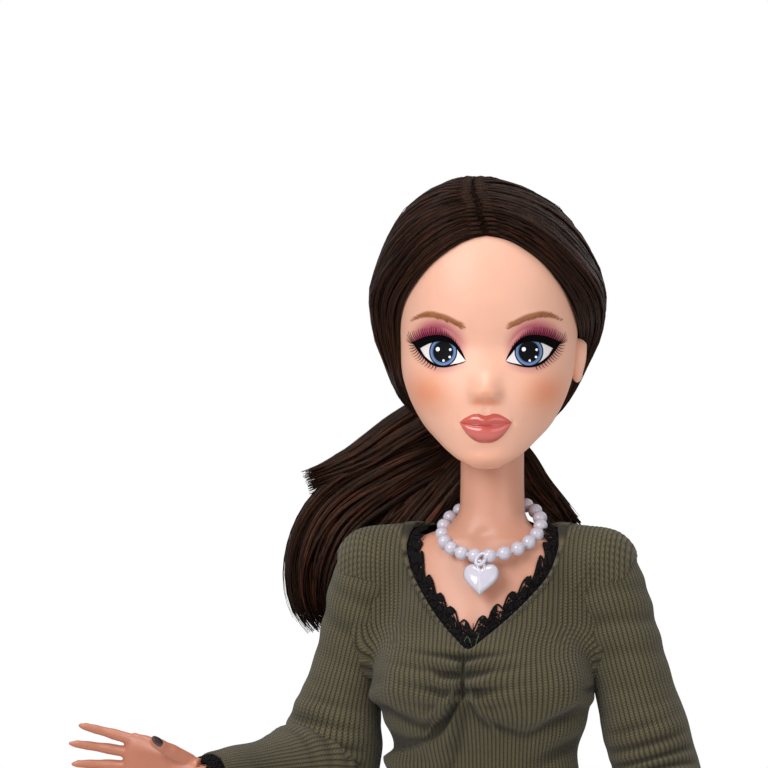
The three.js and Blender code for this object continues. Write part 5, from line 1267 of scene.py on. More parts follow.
def crease_shade_mask(rise, rounds=14):
    """How deep each place of a grid lies below the places round it, from 0 to 1, as a mask for painted shade
    in the creases.
    """
    level = rise
    for _ in range(rounds):
        ahead = np.concatenate([level[:1], level, level[-1:]])
        level = (ahead[:-2] + ahead[1:-1] + ahead[2:]) / 3
        around = np.concatenate([level[:, -2:-1], level, level[:, 1:2]], axis=1)
        level = (around[:, :-2] + around[:, 1:-1] + around[:, 2:]) / 3
    return np.clip((level - rise) / 0.22, 0, 1)


def surface_normals(points, outwards):
    """Normals of a grid of places that closes on itself across its columns."""
    up = np.gradient(points, axis=0)
    ring = np.concatenate([points[:, -2:-1], points, points[:, 1:2]], axis=1)
    made = unit(np.cross(up, ring[:, 2:] - ring[:, :-2]))
    return made * np.where(np.sum(made * outwards, axis=-1, keepdims=True) < 0, -1, 1)


def make_sweater(look):
    ribs = look.body_ribs
    # Columns follow the girth of the bust, and stand closer where the cloth passes over the shoulders
    fine = np.linspace(0, TURN, 1801)
    girth = trunk(fine, np.full(1801, 207.0), SKIN_GAP + KNIT)
    walk = walked(girth)
    pace = np.diff(walk) * (1 + 0.6 * bell(np.abs(np.cos(fine[1:])), 1, 0.2))
    run = np.concatenate([[0], np.cumsum(pace)])
    angle = np.interp(np.linspace(0, run[-1], 671), run, fine)
    pitch = walk[-1] / ribs
    wales = np.interp(angle, fine, walk) / pitch - 0.75 * ribs
    top = neckline_top(angle, 0.0, SKIN_GAP + KNIT)
    level = np.concatenate([np.linspace(0, 0.45, 46)[:-1], np.linspace(0.45, 1, 90)])[:, None]
    z = HEM_Z + (top[None, :] - HEM_Z) * level
    middle = 1.5 * math.pi - 0.09
    swing = angle[None, :] - middle
    pinch = 0.42 * bell(z, 206.8, 3.4) * bell(swing, 0, 0.4)
    wide = middle + swing * (1 - pinch)
    base = trunk(wide, z, SKIN_GAP + KNIT)
    way = shoulder_way(base, wide)
    reach = field_reach(base, way) * (1 - 0.12 * ease(level, 0.965, 1))
    base = base + way * reach[..., None]
    out = surface_normals(base, way)
    x, y, height = base[..., 0], base[..., 1], base[..., 2]
    front = ease(-y, 0.5, 4)
    behind = (1 - front) * 0.25 * np.sin(height * 0.7 + 2 * wide) * fall(height, 196, 210)
    swell = front * sweater_folds(x, y, height) + behind
    edge = ease(level, 0, 0.02) * fall(level, 0.985, 1)
    # A mask of painted shade for the knit, darkest where the folds sink in
    dark = crease_shade_mask(swell)
    # Above the bust the ribs run straight up, and meet those of the back along the shoulder
    behind = np.sign(x) * ribs / 2 - x / pitch
    upright = np.where(y < 0.6, x / pitch, behind)
    wrapped = np.where(wales > ribs / 2, wales - ribs, np.where(wales < -ribs / 2, wales + ribs, wales))
    shift = wales - wrapped
    phase = wrapped + (upright - wrapped) * ease(height, 210, 217) + shift
    swell = swell * edge + look.rib_height / MM * rib(phase) * (0.35 + 0.65 * edge)
    outer = base + out * np.maximum(swell, -0.9)[..., None]
    hem = [trunk(angle[None, :], np.full((1, len(angle)), HEM_Z + up), offset)
           for up, offset in ((3.2, SKIN_GAP + 0.1), (1.4, SKIN_GAP + 0.1), (0.15, SKIN_GAP + 0.2),
                              (-0.1, SKIN_GAP + 0.55))]
    risen = way[-1:] * reach[-1:, :, None]
    collar = [trunk(angle[None, :], (top + up)[None, :], offset) + risen * follow
              for up, offset, follow in ((0.12, SKIN_GAP + 0.6, 1), (0.02, SKIN_GAP + 0.25, 0.95),
                                         (-1.0, SKIN_GAP + 0.12, 0.9), (-2.6, SKIN_GAP + 0.12, 0.9))]
    points = np.concatenate(hem + [outer] + collar)
    course = look.courses * np.concatenate([np.full(4, 0.0), level[:, 0], np.full(4, 1.0)])
    phases = np.concatenate([phase[:1]] * 4 + [phase] + [phase[-1:]] * 4)
    dark = np.concatenate([np.zeros_like(dark[:4]), dark, np.zeros_like(dark[:4])])
    body = grid_piece("sweater", points, {"crease_shade": dark},
                      places=np.stack([phases, np.broadcast_to(course[:, None], phases.shape)], axis=-1))
    wear(body, FINISHES["knit"], None, ("sweater_body",))
    waist = joint_place("waist_twist")[2]
    Vector(metres((0, 0, waist - 4)))
    Vector(metres((0, 0, waist + 4)))
    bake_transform(body)

    # Overlock stitches along the neckline's edge
    places = 721
    around = np.linspace(0, TURN, places)
    height = neckline_top(around, 0.0, SKIN_GAP + KNIT)
    beat = np.arange(places) % 4
    level = height + np.array([0.05, -0.55, -0.75, -0.3])[beat]
    offset = SKIN_GAP + KNIT + np.array([0.05, 0.2, 0.2, 0.12])[beat]
    thread = np.stack([trunk(np.array([a]), np.array([h]), o)[0] for a, h, o in zip(around, level, offset)])
    thread += np.stack([np.interp(around, angle, risen[0, :, k]) for k in range(3)], axis=-1)
    stitches = strand_piece("neckline_stitches", thread[None], np.full((1, places), 0.085), 5)
    wear(stitches, FINISHES["stitch"], "torso")


def hand_matrix(label):
    """The rest place of the hand's frame, in mm in the doll's frame."""
    swing, lift, twist, bend, wrist = (math.radians(value) for value in ARM_POSES[label])
    side = SIDES[label]
    place = Matrix.Translation(Vector(joint_place(f"{label}_shoulder_swing")))
    upper = place @ Matrix.Rotation(swing, 4, "X") @ Matrix.Rotation(-side * lift, 4, "Y")
    fore = (upper @ Matrix.Translation((0, 0, -UPPER_ARM)) @ Matrix.Rotation(side * twist, 4, "Z")
            @ Matrix.Rotation(-bend, 4, "X"))
    more, up = HAND_LIFT[label]
    return (Matrix.Translation((0, 0, up)) @ fore @ Matrix.Translation((0, 0, -FOREARM))
            @ Matrix.Rotation(-side * (wrist + math.radians(more)), 4, "Y"))


def tube_grid(path, radii, angles, first):
    """Rings round a path. Radii are rows by columns, and angle 0 of each ring starts beside first."""
    ahead = unit(np.gradient(path, axis=0))
    facing, last = np.empty_like(path), np.asarray(first, float)
    for i, way in enumerate(ahead):
        last = unit(last - np.dot(last, way) * way)
        facing[i] = last
    across = np.cross(ahead, facing)
    out = np.cos(angles)[None, :, None] * facing[:, None] + np.sin(angles)[None, :, None] * across[:, None]
    return path[:, None] + out * radii[..., None], out, ahead


def make_sleeves(look):
    for label, side in SIDES.items():
        shoulder, elbow, wrist = (joint_place(f"{label}_{name}")
                                  for name in ("shoulder_swing", "elbow_bend", "wrist_bend"))
        bend = math.radians(ARM_POSES[label][3])
        upper = [shoulder + (elbow - shoulder) * share for share in (0, 0.25, 0.5, 0.75, 1)]
        lower = [elbow + (wrist - elbow) * share for share in (0.25, 0.45, 0.65, SLEEVE_END)]
        steps = 150
        path = spline(upper + lower, steps)
        run = walked(path)
        share = run / run[-1]
        ribs = look.sleeve_ribs
        angles = np.linspace(0, TURN, ribs * 5 + 1)
        girth = (along(SLEEVE_ROWS, share) + math.sin(bend) * along(ELBOW_ROWS, share)) * SLEEVE_WIDE
        radii = np.broadcast_to(girth[:, None], (steps, len(angles))).copy()
        _, out, ahead = tube_grid(path, radii, angles, (0, -1, 0))
        at_elbow = run[np.argmin(np.linalg.norm(path - elbow, axis=1))]
        inside = unit(unit(wrist - elbow) + unit(shoulder - elbow))
        inner = np.clip(np.sum(out * inside, axis=-1), -1, 1)
        gap = (run - at_elbow)[:, None]
        sharp = 0.25 + 0.75 * math.sin(bend)
        folds = np.maximum(inner, 0) * bell(gap, 0, 7.5) * np.cos(TURN * gap / 3.1 + 0.5) * 0.95 * sharp
        folds += np.maximum(-inner, 0) * bell(gap, 1, 8) * np.cos(TURN * gap / 5.2) * 0.3 * sharp
        turn = np.broadcast_to(angles, radii.shape)
        drag = bell(run, 9, 9)[:, None] * 0.16 * np.sin(run[:, None] * 1.1 + 2 * np.sin(turn + side))
        soft = 0.12 * np.sin(run[:, None] * 0.55 + 1.5 * np.sin(turn * 2 + side))
        soft = soft * ease(share, 0.25, 0.45)[:, None]
        calm = fall(share, 0.93, 1)[:, None]
        ridge = look.rib_height / MM * rib(np.broadcast_to(angles / TURN * ribs, radii.shape))
        seam = -0.35 * bell(np.sin((turn - math.radians(100)) / 2), 0, 0.05)
        # A mask of painted shade for the knit, darkest where the folds sink in
        dark = crease_shade_mask((folds + drag + soft) * calm)
        radii = radii + (folds + drag + soft) * calm + ridge + seam
        points, out, ahead = tube_grid(path, radii, angles, (0, -1, 0))
        # The head of the sleeve closes over the shoulder's ball
        polar = np.linspace(0, math.pi / 2, 26)[:-1, None]
        ball = DOME
        cap = shoulder + (ball * np.sin(polar))[..., None] * out[0][None]
        cap = cap - (ball * np.cos(polar))[..., None] * ahead[0]
        grooves = ridge[0][None, :] * np.sin(polar)
        cap = cap + grooves[..., None] * unit(cap - shoulder)
        meet = ease(run, 0, 5)[:, None, None]
        points = points * meet + (path[:, None] + out * (ball + ridge[:1])[..., None]
                                  * np.ones((steps, 1, 1))) * (1 - meet)
        # The cuff turns under
        inward = [points[-1:] + ahead[-1] * 0.25 - out[-1:] * 0.3, points[-1:] - out[-1:] * 0.75,
                  points[-1:] - ahead[-1] * 1.5 - out[-1:] * 0.85,
                  points[-1:] - ahead[-1] * 3 - out[-1:] * 0.8]
        split = int(np.argmin(np.abs(run - (at_elbow - 5.5))))
        first = np.concatenate([cap, points[:split + 1]])
        second = np.concatenate([points[split:]] + inward)
        shades = [{"crease_shade": np.concatenate([np.zeros_like(dark[:len(cap)]), dark[:split + 1]])},
                  {"crease_shade": np.concatenate([dark[split:], np.zeros_like(dark[:4])])}]
        upper_piece = grid_piece(f"{label}_sleeve_upper", first, shades[0], uv=(ribs, len(first) * 0.9),
                                 centre=path[split // 2])
        lower_piece = grid_piece(f"{label}_sleeve_lower", second, shades[1], uv=(ribs, len(second) * 0.9),
                                 centre=path[(split + steps) // 2])
        turn_tube(upper_piece, path[:split + 1])
        turn_tube(lower_piece, path[split:])
        wear(upper_piece, FINISHES["knit"], None, (f"{label}_sleeve",))
        wear(lower_piece, FINISHES["knit"])
        cuff = make_cuff(label, path, out[-1], ahead[-1], girth[-1])
        down = unit(elbow - shoulder)
        Vector(metres(elbow - down * 22))
        Vector(metres(path[split] - down * 0.5))
        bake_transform(upper_piece)
        Vector(metres(path[split]))
        Vector(metres(elbow + unit(wrist - elbow) * 5.5))
        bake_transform(lower_piece)


def turn_tube(obj, path):
    """Turns a tube's faces away from the path inside it."""
    normals, centres = table_of(obj.data.polygons, "normal"), table_of(obj.data.polygons, "center")
    line = metres(path)
    some = slice(None, None, max(1, len(normals) // 2000))
    away = centres[some][:, None] - line[None]
    nearest = away[np.arange(len(away)), np.argmin(np.linalg.norm(away, axis=2), axis=1)]
    if np.sum(nearest * normals[some]) < 0:
        in_edit_mode(obj, bpy.ops.mesh.flip_normals)


# Lace

def lace_threads(place, scallops):
    """Threads of a lace band. place(u, w, lift) gives points along it, across it and out from it."""
    u = np.linspace(0, 1, max(240, scallops * 16))
    paths, radii = [], []

    def thread(at_u, at_w, lift, thick):
        paths.append(place(at_u, at_w, lift))
        radii.append(np.full(len(at_u), thick))

    wave = np.abs(np.sin(math.pi * scallops * u))
    for w, lift in ((0.02, 0.3), (0.16, 0.34)):
        thread(u, w + 0.03 * np.sin(TURN * scallops * 4 * u), np.full_like(u, lift), 0.15)
    thread(u, 0.72 + 0.3 * wave, np.full_like(u, 0.32), 0.17)
    thread(u, 0.56 + 0.26 * wave, np.full_like(u, 0.26), 0.1)
    for phase in (0, 0.5):
        zig = np.abs(2 * ((scallops * 2.5 * u + phase) % 1) - 1)
        thread(u, 0.12 + 0.5 * zig, np.full_like(u, 0.28), 0.09)
    for phase in (0.0, 0.33, 0.66):
        loop = TURN * (scallops * 1.5 * u + phase)
        thread(u, 0.45 + 0.3 * np.sin(loop), 0.3 + 0.08 * np.cos(loop), 0.1)
    return np.array(paths), np.array(radii)


def lace_petals(place, scallops, seed):
    """Small leaf-shaped clumps of thread, five to a flower."""
    luck = np.random.default_rng(seed)
    paths, radii = [], []
    size = np.array([0.16, 0.34, 0.42, 0.34, 0.14])
    for i in range(scallops):
        for centre_w, reach, lobes, at in ((0.76, 0.24, 7, 0.5), (0.3, 0.22, 5, 0.0), (0.44, 0.2, 5, 0.5),
                                           (0.64, 0.18, 6, 0.02)):
            at_u = (i + at + 0.16 * luck.uniform(-1, 1)) / scallops
            for k in range(lobes):
                angle = TURN * (k + luck.uniform(-0.2, 0.2)) / lobes
                along_share = np.linspace(0.15, 1, 5)
                du = along_share * reach * math.cos(angle) / scallops * 1.3
                dw = along_share * reach * math.sin(angle) * 1.1
                paths.append(place((at_u + du) % 1, centre_w + dw, 0.36 + 0.06 * along_share))
                radii.append(size * luck.uniform(0.7, 1.0))
    return np.array(paths), np.array(radii)


def make_lace(look):
    around = np.linspace(0, TURN, 1441)
    heights = [neckline_top(around, inset, SKIN_GAP) for inset in (-0.5, 0.6, 1.5, look.lace_width / MM, 2.9)]
    levels = np.array([-0.1, 0.35, 0.65, 1.0, 1.2])
    # Even steps along the edge, starting behind the neck
    edge = trunk(around, heights[1], SKIN_GAP)
    run = walked(edge)
    start = np.interp(math.pi / 2, around, run)
    way = shoulder_way(edge, around)
    knit_reach = field_reach(trunk(around, heights[1], SKIN_GAP + KNIT), way)
    risen = way * np.minimum(knit_reach * 0.75, 2.4)[:, None]

    def place(u, w, lift):
        u, w, lift = np.broadcast_arrays(np.asarray(u, float), np.asarray(w, float), np.asarray(lift, float))
        angle = np.interp((u * run[-1] + start) % run[-1], run, around)
        stack = np.stack([np.interp(angle, around, height) for height in heights], axis=-1)
        w = np.clip(w, levels[0], levels[-1])
        k = np.clip(np.searchsorted(levels, w) - 1, 0, len(levels) - 2)
        share = (w - levels[k]) / (levels[k + 1] - levels[k])
        index = np.arange(len(stack))
        z = stack[index, k] * (1 - share) + stack[index, k + 1] * share
        base = trunk(angle, z, 0.0)
        out = unit(trunk(angle, z, 1.0) - base)
        up = np.stack([np.interp(angle, around, risen[:, k]) for k in range(3)], axis=-1)
        return base + out * lift[..., None] + up * (1 - 0.5 * w)[..., None]

    scallops = look.neck_scallops
    bands = []
    paths, radii = lace_threads(place, scallops)
    bands.append(strand_piece("lace_threads", paths, radii, 5))
    paths, radii = lace_petals(place, scallops, 5)
    bands.append(strand_piece("lace_petals", paths, radii, 6, 0.5))
    # A few loose ends stand over the band
    luck = np.random.default_rng(9)
    ends = []
    for _ in range(26):
        at, w = luck.uniform(0.2, 0.8), luck.uniform(0.5, 1.0)
        share = np.linspace(0, 1, 6)
        ends.append(place(at + luck.uniform(-0.012, 0.012) * share, w + luck.uniform(-0.2, 0.35) * share,
                          0.35 + 0.9 * share * luck.uniform(0.3, 1)))
    bands.append(strand_piece("lace_ends", np.array(ends), np.full((26, 6), 0.07), 4))
    wear(join("neckline_lace_band", bands), FINISHES["lace"], "torso", ("neckline_lace",))

    share = np.linspace(0, 1, 14)
    green = place(0.5 + (share - 0.5) * 0.035, 0.35 + 0.3 * np.sin(share * 7), 0.55 + 0.2 * np.sin(share * 9))
    wear(strand_piece("green_thread", green[None], np.full((1, 14), 0.06), 5), FINISHES["green"],
         "torso")


def make_cuff(label, path, out, ahead, radius):
    """The lace round a sleeve's end."""
    end = path[-1]
    angles = np.linspace(0, TURN, len(out))

    def place(u, w, lift):
        u, w, lift = np.broadcast_arrays(np.asarray(u, float) % 1, np.asarray(w, float),
                                         np.asarray(lift, float))
        ways = np.stack([np.interp(u * TURN, angles, out[:, k]) for k in range(3)], axis=-1)
        away = unit(ways) * (radius - 0.5 - 0.75 * w + lift * 0.6)[..., None]
        return end + ahead * (w * 4.0 - 0.3)[..., None] + away

    paths, radii = lace_threads(place, CUFF_SCALLOPS)
    pieces = [strand_piece("cuff_threads", paths, radii, 5)]
    paths, radii = lace_petals(place, CUFF_SCALLOPS, 15)
    pieces.append(strand_piece("cuff_petals", paths, radii, 6, 0.5))
    return wear(join(f"{label}_cuff_lace_band", pieces), FINISHES["lace"], f"{label}_forearm",
                (f"{label}_cuff_lace",))


# Necklace

def strand_point(share):
    angle = TURN * np.asarray(share, float)
    return np.stack([1.0 + 8.3 * np.sin(angle), -1.2 - 9.2 * np.cos(angle), 232.4 - 4.4 * np.cos(angle)],
                    axis=-1)


BEADS, HEART_HALF = 21, 3.05
# Each side of the heart: two curves, as their ends and the points they head for
HEART_CURVES = [((0, -1), (0.3, -0.55), (1, -0.2), (1, 0.35)), ((1, 0.35), (1, 1.05), (0.2, 1.1), (0, 0.6))]


def bezier(a, b, c, d, t):
    a, b, c, d = np.array(a), np.array(b), np.array(c), np.array(d)
    return a * (1 - t) ** 3 + 3 * b * t * (1 - t) ** 2 + 3 * c * t * t * (1 - t) + d * t ** 3


def make_necklace(look):
    beads = []
    for i in range(BEADS):
        place = strand_point((i + 0.5) / BEADS)
        beads.append(ball_piece("bead", look.bead_size / MM / 2, place, 20, 14))
    loop = strand_point(np.linspace(0, 1, 145))[None]
    beads.append(strand_piece("cord", loop, np.full((1, 145), 0.42), 6))
    front = strand_point(0.0)
    share = np.linspace(0, 1, 25)
    turn = share * TURN
    links = []
    for dz, lean, wide, tall in ((-0.5, 0.35, 0.75, 0.95), (-1.7, -0.35, 0.6, 0.9)):
        ring = np.stack([wide * np.cos(turn) + lean * np.sin(turn), -0.95 + 0.25 * np.sin(turn),
                         dz + tall * np.sin(turn)], axis=-1)
        links.append(front + ring)
    beads.append(strand_piece("bail", np.array(links), np.full((2, 25), 0.34), 8))

    t = np.linspace(0, 1, 19)[:, None]
    lower, upper = (bezier(*curve, t) for curve in HEART_CURVES)
    edge = np.vstack([lower, upper[1:]])
    edge = np.vstack([edge, edge[::-1][1:] * [-1, 1]]) * HEART_HALF
    grow = np.concatenate([np.linspace(0, 1, 12), np.linspace(1, 0, 9)[1:]])[:, None]
    flat_x, flat_z = edge[None, :, 0] * grow, edge[None, :, 1] * grow
    way = np.concatenate([np.ones(12), -np.ones(8)])[:, None]
    dome = way * 1.0 * np.sqrt(np.clip(1 - grow ** 2.4, 0, 1))
    ridge = 0.1 * bell(flat_x, 0, 0.28) * (1 - grow) ** 0.5 * (way > 0)
    lean = math.radians(24)
    local = np.stack([flat_x, -(dome + ridge), flat_z], axis=-1)
    c, s = math.cos(-lean), math.sin(-lean)
    y, z = c * local[..., 1] - s * local[..., 2], s * local[..., 1] + c * local[..., 2]
    points = np.stack([local[..., 0], y, z], axis=-1) + front + np.array([0, -1.2, -3.9])
    beads.append(grid_piece("heart", points))
    wear(join("pearl_necklace", beads), FINISHES["pearl"], "torso", ("necklace",))


# Hands

FINGERS = [(-0.76, 0.44, -7), (-0.26, 0.49, -1), (0.26, 0.455, 5), (0.74, 0.36, 12)]
PALM_ROWS = [(-0.02, 0.42, 0.4), (0.1, 0.56, 0.47), (0.18, 0.62, 0.47), (0.32, 0.76, 0.46), (0.6, 1.0, 0.42),
             (0.86, 1.06, 0.34), (1, 0.95, 0.27), (1.05, 0.6, 0.14)]


def make_hands(look):
    for label, side in SIDES.items():
        matrix = hand_matrix(label)
        matrix = np.array(matrix @ Matrix.Scale(side, 4, (1, 0, 0)))

        def placed(points):
            return np.asarray(points) @ matrix[:3, :3].T + matrix[:3, 3]

        palm = 0.5 * HAND_LONG
        down = np.linspace(-0.02, 1.05, 34)
        size = along(PALM_ROWS, down)
        angles = np.linspace(0, TURN, 33)
        x = size[:, 1:2] * PALM_HALF * bow(np.cos(angles), 2.4) * 1.0
        y = size[:, 0:1] * PALM_HALF * bow(np.sin(angles), 2.4)
        # The palm is hollow on its inner side and has a mound below the thumb
        mound = 0.35 * bell(y, -2.2, 1.6) * bell(down[:, None], 0.5, 0.25)
        x = np.where(x < 0, x - mound + 0.3 * bell(y, 0.6, 1.8) * bell(down[:, None], 0.6, 0.25), x)
        rings = np.stack([x, y, np.broadcast_to(-down[:, None] * palm, x.shape)], axis=-1)
        ends = [np.broadcast_to(rings[:1].mean(axis=1, keepdims=True), rings[:1].shape),
                np.broadcast_to(rings[-1:].mean(axis=1, keepdims=True), rings[-1:].shape)]
        parts = [grid_piece("palm", placed(np.concatenate([ends[0], rings, ends[1]])))]
        wrist = np.stack([np.zeros(12), np.zeros(12), np.linspace(1.0, -0.3 * palm, 12)], axis=-1)
        parts.append(strand_piece("wrist", placed(wrist)[None], np.linspace(2.35, 2.1, 12)[None], 24))
        nails = []
        share = np.linspace(0, 1, 22)
        girth = along([(0, 1.02), (0.3, 0.98), (0.5, 0.92), (0.62, 0.82), (0.8, 0.74), (0.92, 0.6),
                       (1, 0.28)], share)
        girth = girth + 0.05 * bell(share, 0.48, 0.06) + 0.05 * bell(share, 0.74, 0.05)
        jobs = []
        for k, (across, length, spread) in enumerate(FINGERS):
            lean = math.radians(spread)
            way = np.array([0, math.sin(lean), -math.cos(lean)])
            root = np.array([0, across * PALM_HALF, -0.86 * palm])
            jobs.append((root, way, length * HAND_LONG + 0.4, 0.97 - 0.05 * (k == 3),
                         math.radians(15 + 4 * k), (1, 0, 0), 1))
        thumb_way = unit(np.array([-0.6, -0.42, -0.72]))
        thumb_root = np.array([-0.2, -0.45, -0.44]) * PALM_HALF * np.array([1, 1, palm / (palm + PALM_HALF)])
        jobs.append((thumb_root, thumb_way, 0.34 * HAND_LONG, 1.3, math.radians(10), (-1, -0.8, 0.2), 1.25))
        for root, way, length, thick, curl, over, nail_size in jobs:
            curl_axis = Vector((0, 1, 0))
            points, at = [root - way * 1.2, root], root
            for joint, part in enumerate((0.42, 0.3, 0.28)):
                turned = np.array(Matrix.Rotation(curl * (0.25 + 0.5 * joint), 3, curl_axis) @ Vector(way))
                at = at + turned * length * part
                points.append(at)
            path = spline(points, 22)
            parts.append(strand_piece("finger", placed(path)[None], (girth * thick)[None], 18))
            tip_way = unit(path[-1] - path[-4])
            dorsal = unit(np.cross(np.cross(tip_way, np.array(over, float)), tip_way))
            across_way = np.cross(tip_way, dorsal)
            base = np.stack([across_way, tip_way, dorsal], axis=1)
            centre = path[-4] + tip_way * 0.15 + dorsal * thick * 0.5

            def nail_shape(local, base=base, centre=centre, thick=thick, nail_size=nail_size):
                sized = local * np.array([0.62, 0.98 * nail_size, 0.3]) * thick
                sized[:, 2] -= 0.35 * (sized[:, 0] / thick) ** 2
                return placed(sized @ base.T + centre)

            nails.append(ball_piece("nail", 1, (0, 0, 0), 20, 12, nail_shape))
        hand = join(f"{label}_hand_skin", parts)
        modify(hand, "REMESH", mode="VOXEL", voxel_size=0.00022)
        modify(hand, "SMOOTH", factor=0.5, iterations=7)
        shade_smoothly(hand)
        wear(hand, FINISHES["hand"], f"{label}_hand", (f"{label}_hand",))
        wear(join(f"{label}_nails", nails), FINISHES["nail"], f"{label}_hand")


# Trousers and boots

SEAT_ROWS = [(0, 1.0, 0.74, 0.8), (0.07, 1.05, 0.8, 0.87), (0.16, 1.09, 0.84, 0.97), (0.4, 1.08, 0.85, 1.1),
             (0.66, 1.05, 0.87, 1.12),
             (0.86, 0.99, 0.84, 1.01), (1, 0.94, 0.81, 0.93), (1.1, 0.9, 0.79, 0.9)]
SEAT_LOW, SEAT_TOP = 144.1, 177.7
HIP_X, HIP_Z, KNEE_Z = 11.0, 150.0, 86.0
LEG_ROWS = [(25.5, 6.0), (31, 5.9), (46, 6.95), (65, 7.6), (80, 7.35), (86, 7.3), (94, 7.5), (112, 8.8),
            (130, 9.4), (143.8, 9.5)]
BOOT_FOOT = [(-0.3, 0.3, 0.2), (-0.26, 0.5, 0.34), (-0.2, 0.72, 0.54), (-0.02, 0.84, 0.62), (0.2, 0.86, 0.5),
             (0.42, 1, 0.34), (0.6, 0.94, 0.25), (0.7, 0.66, 0.19), (0.735, 0.35, 0.12)]


def make_trousers(look):
    angle = np.linspace(0, TURN, 181)[None, :]
    low = SEAT_LOW + 5.0 * np.abs(np.cos(angle)) ** 1.4
    z = low + (SEAT_TOP + 2.6 - low) * np.linspace(0, 1, 60)[:, None]
    sizes = along(SEAT_ROWS, (z - SEAT_LOW) / (SEAT_TOP - SEAT_LOW))
    half, front, back = sizes[..., 0] * HIP_HALF + 0.5, sizes[..., 1] * 12 + 0.5, sizes[..., 2] * 12 + 0.5
    x, y = oval(half, front, back, angle, 2.7)
    z = np.broadcast_to(z, x.shape).copy()
    swell = 0.3 * np.sin((z - SEAT_LOW) * 0.8 + 0.35 * np.abs(x)) * fall(z, 150, 160) * ease(-y, 0, 6)
    fly = -0.35 * bell(x, 0.3, 0.22) * ease(-y, 2, 6) * fall(z, 172, 173)
    seams = -0.3 * bell(y, 0, 0.25) * ease(np.abs(x), 12, 16)
    band = 0.35 * ease(z, 172.6, 173.1)
    pocket = -0.28 * bell(z - 164 - 0.75 * (np.abs(x) - 12), 0, 0.28)
    pocket = pocket * ease(np.abs(x), 11, 12.5) * ease(-y, 1, 4)
    crotch = -1.5 * bell(x, 0, 3.2) * fall(z, 146, 158) - 0.5 * fall(z, 144, 146.5)
    pull = 0.2 * np.sin((z - 150 - 0.55 * np.abs(x)) * 1.1) * bell(z, 150, 5) * ease(np.abs(x), 2, 6)
    grow = 1 + (swell + fly + seams + band + pocket + crotch + pull) / np.hypot(x, y)
    points = np.stack([x * grow, y * grow, z], axis=-1)
    under = points[0]
    floor = [np.stack([under[:, 0] * s, under[:, 1] * s, under[:, 2] * s + (SEAT_LOW + 1.5) * (1 - s) + 0.2],
                      axis=-1)
             for s in (0, 0.35, 0.7, 0.92)]
    inner = points[-1] * np.array([0.975, 0.965, 1])
    rolled = [inner, inner - np.array([0, 0, 1.2])]
    seat = grid_piece("trouser_seat_cloth", np.stack(floor + list(points) + rolled), uv=(300, 110),
                      centre=(0, 0, 160))
    wear(seat, FINISHES["twill"], "pelvis", ("trouser_seat",))

    for label, side in SIDES.items():
        angles = np.linspace(0, TURN, 97)
        z = np.linspace(25.5, HIP_Z - 1.5, 150)
        radius = along(LEG_ROWS, z)
        radius = np.where(z > 143, 9.3 + 0.2 * fall(z, 143, 146), radius)
        turn = np.broadcast_to(angles, (150, 97))
        depth = z[:, None]
        folds = 0.42 * np.sin((depth - KNEE_Z) * 1.25 + 0.9 * np.sin(turn)) * bell(depth, KNEE_Z,
                8) * (0.4 + 0.6 * np.clip(np.sin(turn), 0, 1))
        folds += 0.38 * np.sin((depth - 30) * 1.05 + 1.2 * np.sin(turn + side)) * bell(depth, 31, 8)
        folds += 0.2 * np.sin(depth * 0.35 + 2 * np.sin(turn * 2)) * ease(depth, 95, 110) * fall(depth, 130,
                142)
        seam = -0.28 * (bell(np.sin(turn / 2), 0, 0.025) + bell(np.sin((turn - math.pi) / 2), 0, 0.025))
        hem = 0.22 * fall(depth, 27.6, 28.0)
        around = radius[:, None] + folds + seam + hem
        points = np.stack([side * HIP_X + around * np.cos(turn), around * np.sin(turn),
                           np.broadcast_to(depth, turn.shape)], axis=-1)
        polar = np.linspace(0, math.pi / 2, 14)[1:]
        top = [np.stack([side * HIP_X + 9.25 * math.cos(p) * np.cos(angles),
                         9.25 * math.cos(p) * np.sin(angles),
                         np.full(97, HIP_Z + 7.6 * math.sin(p))], axis=-1) for p in polar]
        start = points[0]
        middle = np.array([side * HIP_X, 0, 0])
        inner = [(start - middle) * np.array([s, s, 1]) + middle + np.array([0, 0, h]) for s,
                 h in ((0.86, 4.5), (0.86, 1), (0.89, 0.1), (0.95, -0.15))]
        leg = grid_piece(f"{label}_trouser_leg_cloth", np.stack(inner + list(points) + top), uv=(120, 340),
                         centre=(side * HIP_X, 0, 90))
        modify(leg, "SOLIDIFY", thickness=0.0002, offset=-1)
        wear(leg, FINISHES["twill"], None, (f"{label}_trouser_leg",))
        Vector(metres((side * HIP_X, 0, KNEE_Z + 7)))
        Vector(metres((side * HIP_X, 0, KNEE_Z - 7)))
        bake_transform(leg)


